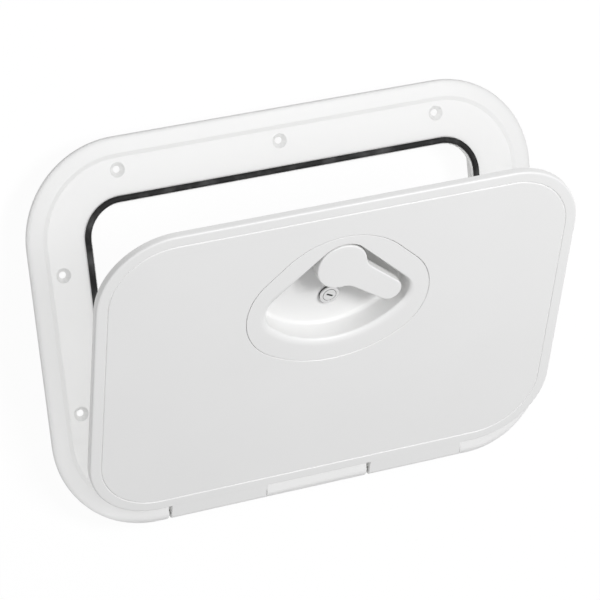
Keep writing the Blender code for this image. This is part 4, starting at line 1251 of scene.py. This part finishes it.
class HATCH_OT_stage(bpy.types.Operator):
    """Set the floor, the lights and the camera"""

    bl_idname = "hatch.stage"
    bl_label = "Stage"

    def execute(self, context):
        stage = context.scene.hatch.stage
        self.floor(stage)
        self.lights(context, stage)
        self.camera(context, stage)
        context.scene.view_settings.view_transform = "Standard"
        return {"FINISHED"}

    def floor(self, stage):
        """A white floor that keeps part of its shadow near the hatch."""
        half = stage.floor_size / 2
        height = CAD_BOX[0][2]
        mesh = bpy.data.meshes.new("floor")
        corners = [(-half, -half), (half, -half), (half, half), (-half, half)]
        mesh.from_pydata([(x, y, height) for x, y in corners], [], [(0, 1, 2, 3)])
        made, maker, _ = material("floor_white")
        strength = stage.bounce + shown(maker) * (1 - stage.bounce)
        glow = maker.node("ShaderNodeEmission", {"Color": WHITE, "Strength": strength})
        pale = maker.node("ShaderNodeBsdfDiffuse", {"Color": WHITE})
        place = maker.node("ShaderNodeTexCoord", output="Object")
        away = maker.node("ShaderNodeVectorMath", {0: place}, "Value", operation="LENGTH")
        near = maker.node("ShaderNodeClamp", {"Value": 2 - away / stage.shadow_reach})
        face = maker.node("ShaderNodeMixShader", {0: near * stage.shadow, 1: glow, 2: pale})
        leave = made.node_tree.nodes["Material Output"]
        made.node_tree.links.new(face.socket, leave.inputs["Surface"])
        mesh.materials.append(made)
        show("floor", mesh)

    def lights(self, context, stage):
        """Even light, a broad fill light and the lamps, one of them for the frame alone."""
        world = bpy.data.worlds.new("studio")
        world.use_nodes = True
        context.scene.world = world
        tree = world.node_tree
        maker = Wire(tree)
        way = maker.node("ShaderNodeTexCoord", output="Generated")
        height = maker.node("ShaderNodeSeparateXYZ", {"Vector": way}, "Z")
        above = maker.node("ShaderNodeClamp", {"Value": height})
        fill_way = Vector(stage.fill_way).normalized()
        facing = maker.node("ShaderNodeVectorMath", {0: way, 1: fill_way}, "Value",
                            operation="DOT_PRODUCT")
        beside = maker.node("ShaderNodeClamp", {"Value": facing})
        even = maker.node("ShaderNodeBackground", {
            "Color": tinted(stage.light),
            "Strength": stage.horizon + above * (stage.zenith - stage.horizon)
                        + beside * beside * stage.fill,
        })
        white = maker.node("ShaderNodeBackground", {"Color": WHITE, "Strength": 1.0})
        mixed = maker.node("ShaderNodeMixShader", {0: shown(maker), 1: even, 2: white})
        tree.links.new(mixed.socket, tree.nodes["World Output"].inputs["Surface"])
        lamps = (
            ("key", stage.key, stage.key_place, True, None),
            ("lift", stage.lift, stage.key_place, True, "EXCLUDE"),
            ("wash", stage.wash, stage.wash_place, False, "INCLUDE"),
        )
        for name, power, place, shadow, link in lamps:
            lamp = bpy.data.lights.new(name, "AREA")
            lamp.energy = power
            lamp.color = stage.light
            lamp.size = stage.key_size
            lamp.use_shadow = shadow
            thing = bpy.data.objects.new(name, lamp)
            context.scene.collection.objects.link(thing)
            thing.location = place
            way = Vector((0.0, 0.0, DECK)) - Vector(place)
            thing.rotation_euler = way.to_track_quat("-Z", "Y").to_euler()
            if link:
                self.limit(thing, link)

    def limit(self, lamp, link):
        """Let a lamp light the frame and its gasket alone, or all but them."""
        reach = bpy.data.collections.new(lamp.name + "_reach")
        for piece in ("frame_visual", "gasket_visual"):
            reach.objects.link(bpy.data.objects[piece])
        for entry in reach.collection_objects:
            entry.light_linking.link_state = link
        lamp.light_linking.receiver_collection = reach

    def camera(self, context, stage):
        """The photograph's viewpoint."""
        flat = math.cos(stage.elevation)
        back = Vector((flat * math.cos(stage.azimuth), flat * math.sin(stage.azimuth),
                       math.sin(stage.elevation)))
        side = back.cross(Vector((0.0, 0.0, -1.0))).normalized()
        rise = side.cross(-back)
        right = side * math.cos(stage.roll) + rise * math.sin(stage.roll)
        up = rise * math.cos(stage.roll) - side * math.sin(stage.roll)
        eye = Vector((stage.target_x, stage.target_y, DECK)) + back * stage.distance
        lens = bpy.data.cameras.new("camera")
        lens.lens = stage.lens
        lens.sensor_width = stage.sensor
        camera = bpy.data.objects.new("camera", lens)
        context.scene.collection.objects.link(camera)
        turn = Matrix((right, up, back)).transposed().to_4x4()
        camera.matrix_world = Matrix.Translation(eye) @ turn
        context.scene.camera = camera


OPERATORS = (
    HATCH_OT_frame,
    HATCH_OT_gasket,
    HATCH_OT_pins,
    HATCH_OT_lid,
    HATCH_OT_cup,
    HATCH_OT_lever,
    HATCH_OT_latch,
    HATCH_OT_lock,
    HATCH_OT_stage,
)


class HATCH_PT_sidebar(bpy.types.Panel):
    """The hatch's steps, in the order that they run"""

    bl_idname = "HATCH_PT_sidebar"
    bl_label = "Deck hatch"
    bl_space_type = "VIEW_3D"
    bl_region_type = "UI"
    bl_category = "Hatch"

    def draw(self, context):
        for operator in OPERATORS:
            self.layout.operator(operator.bl_idname)


GROUPS = (FrameSizes, HingeSizes, LidSizes, LeverSizes, Finishes, StageSizes, HatchSettings)


def register():
    """Add the settings, the operators and the panel."""
    for group in GROUPS + OPERATORS + (HATCH_PT_sidebar,):
        bpy.utils.register_class(group)
    bpy.types.Scene.hatch = PointerProperty(type=HatchSettings)


def unregister():
    """Take the settings, the operators and the panel away."""
    del bpy.types.Scene.hatch
    for group in reversed(GROUPS + OPERATORS + (HATCH_PT_sidebar,)):
        bpy.utils.unregister_class(group)


def main():
    """Run every step."""
    register()
    bpy.ops.hatch.frame()
    bpy.ops.hatch.gasket()
    bpy.ops.hatch.pins()
    bpy.ops.hatch.lid()
    bpy.ops.hatch.cup()
    bpy.ops.hatch.lever()
    bpy.ops.hatch.latch()
    bpy.ops.hatch.lock()
    bpy.ops.hatch.stage()


if __name__ == "__main__":
    main()
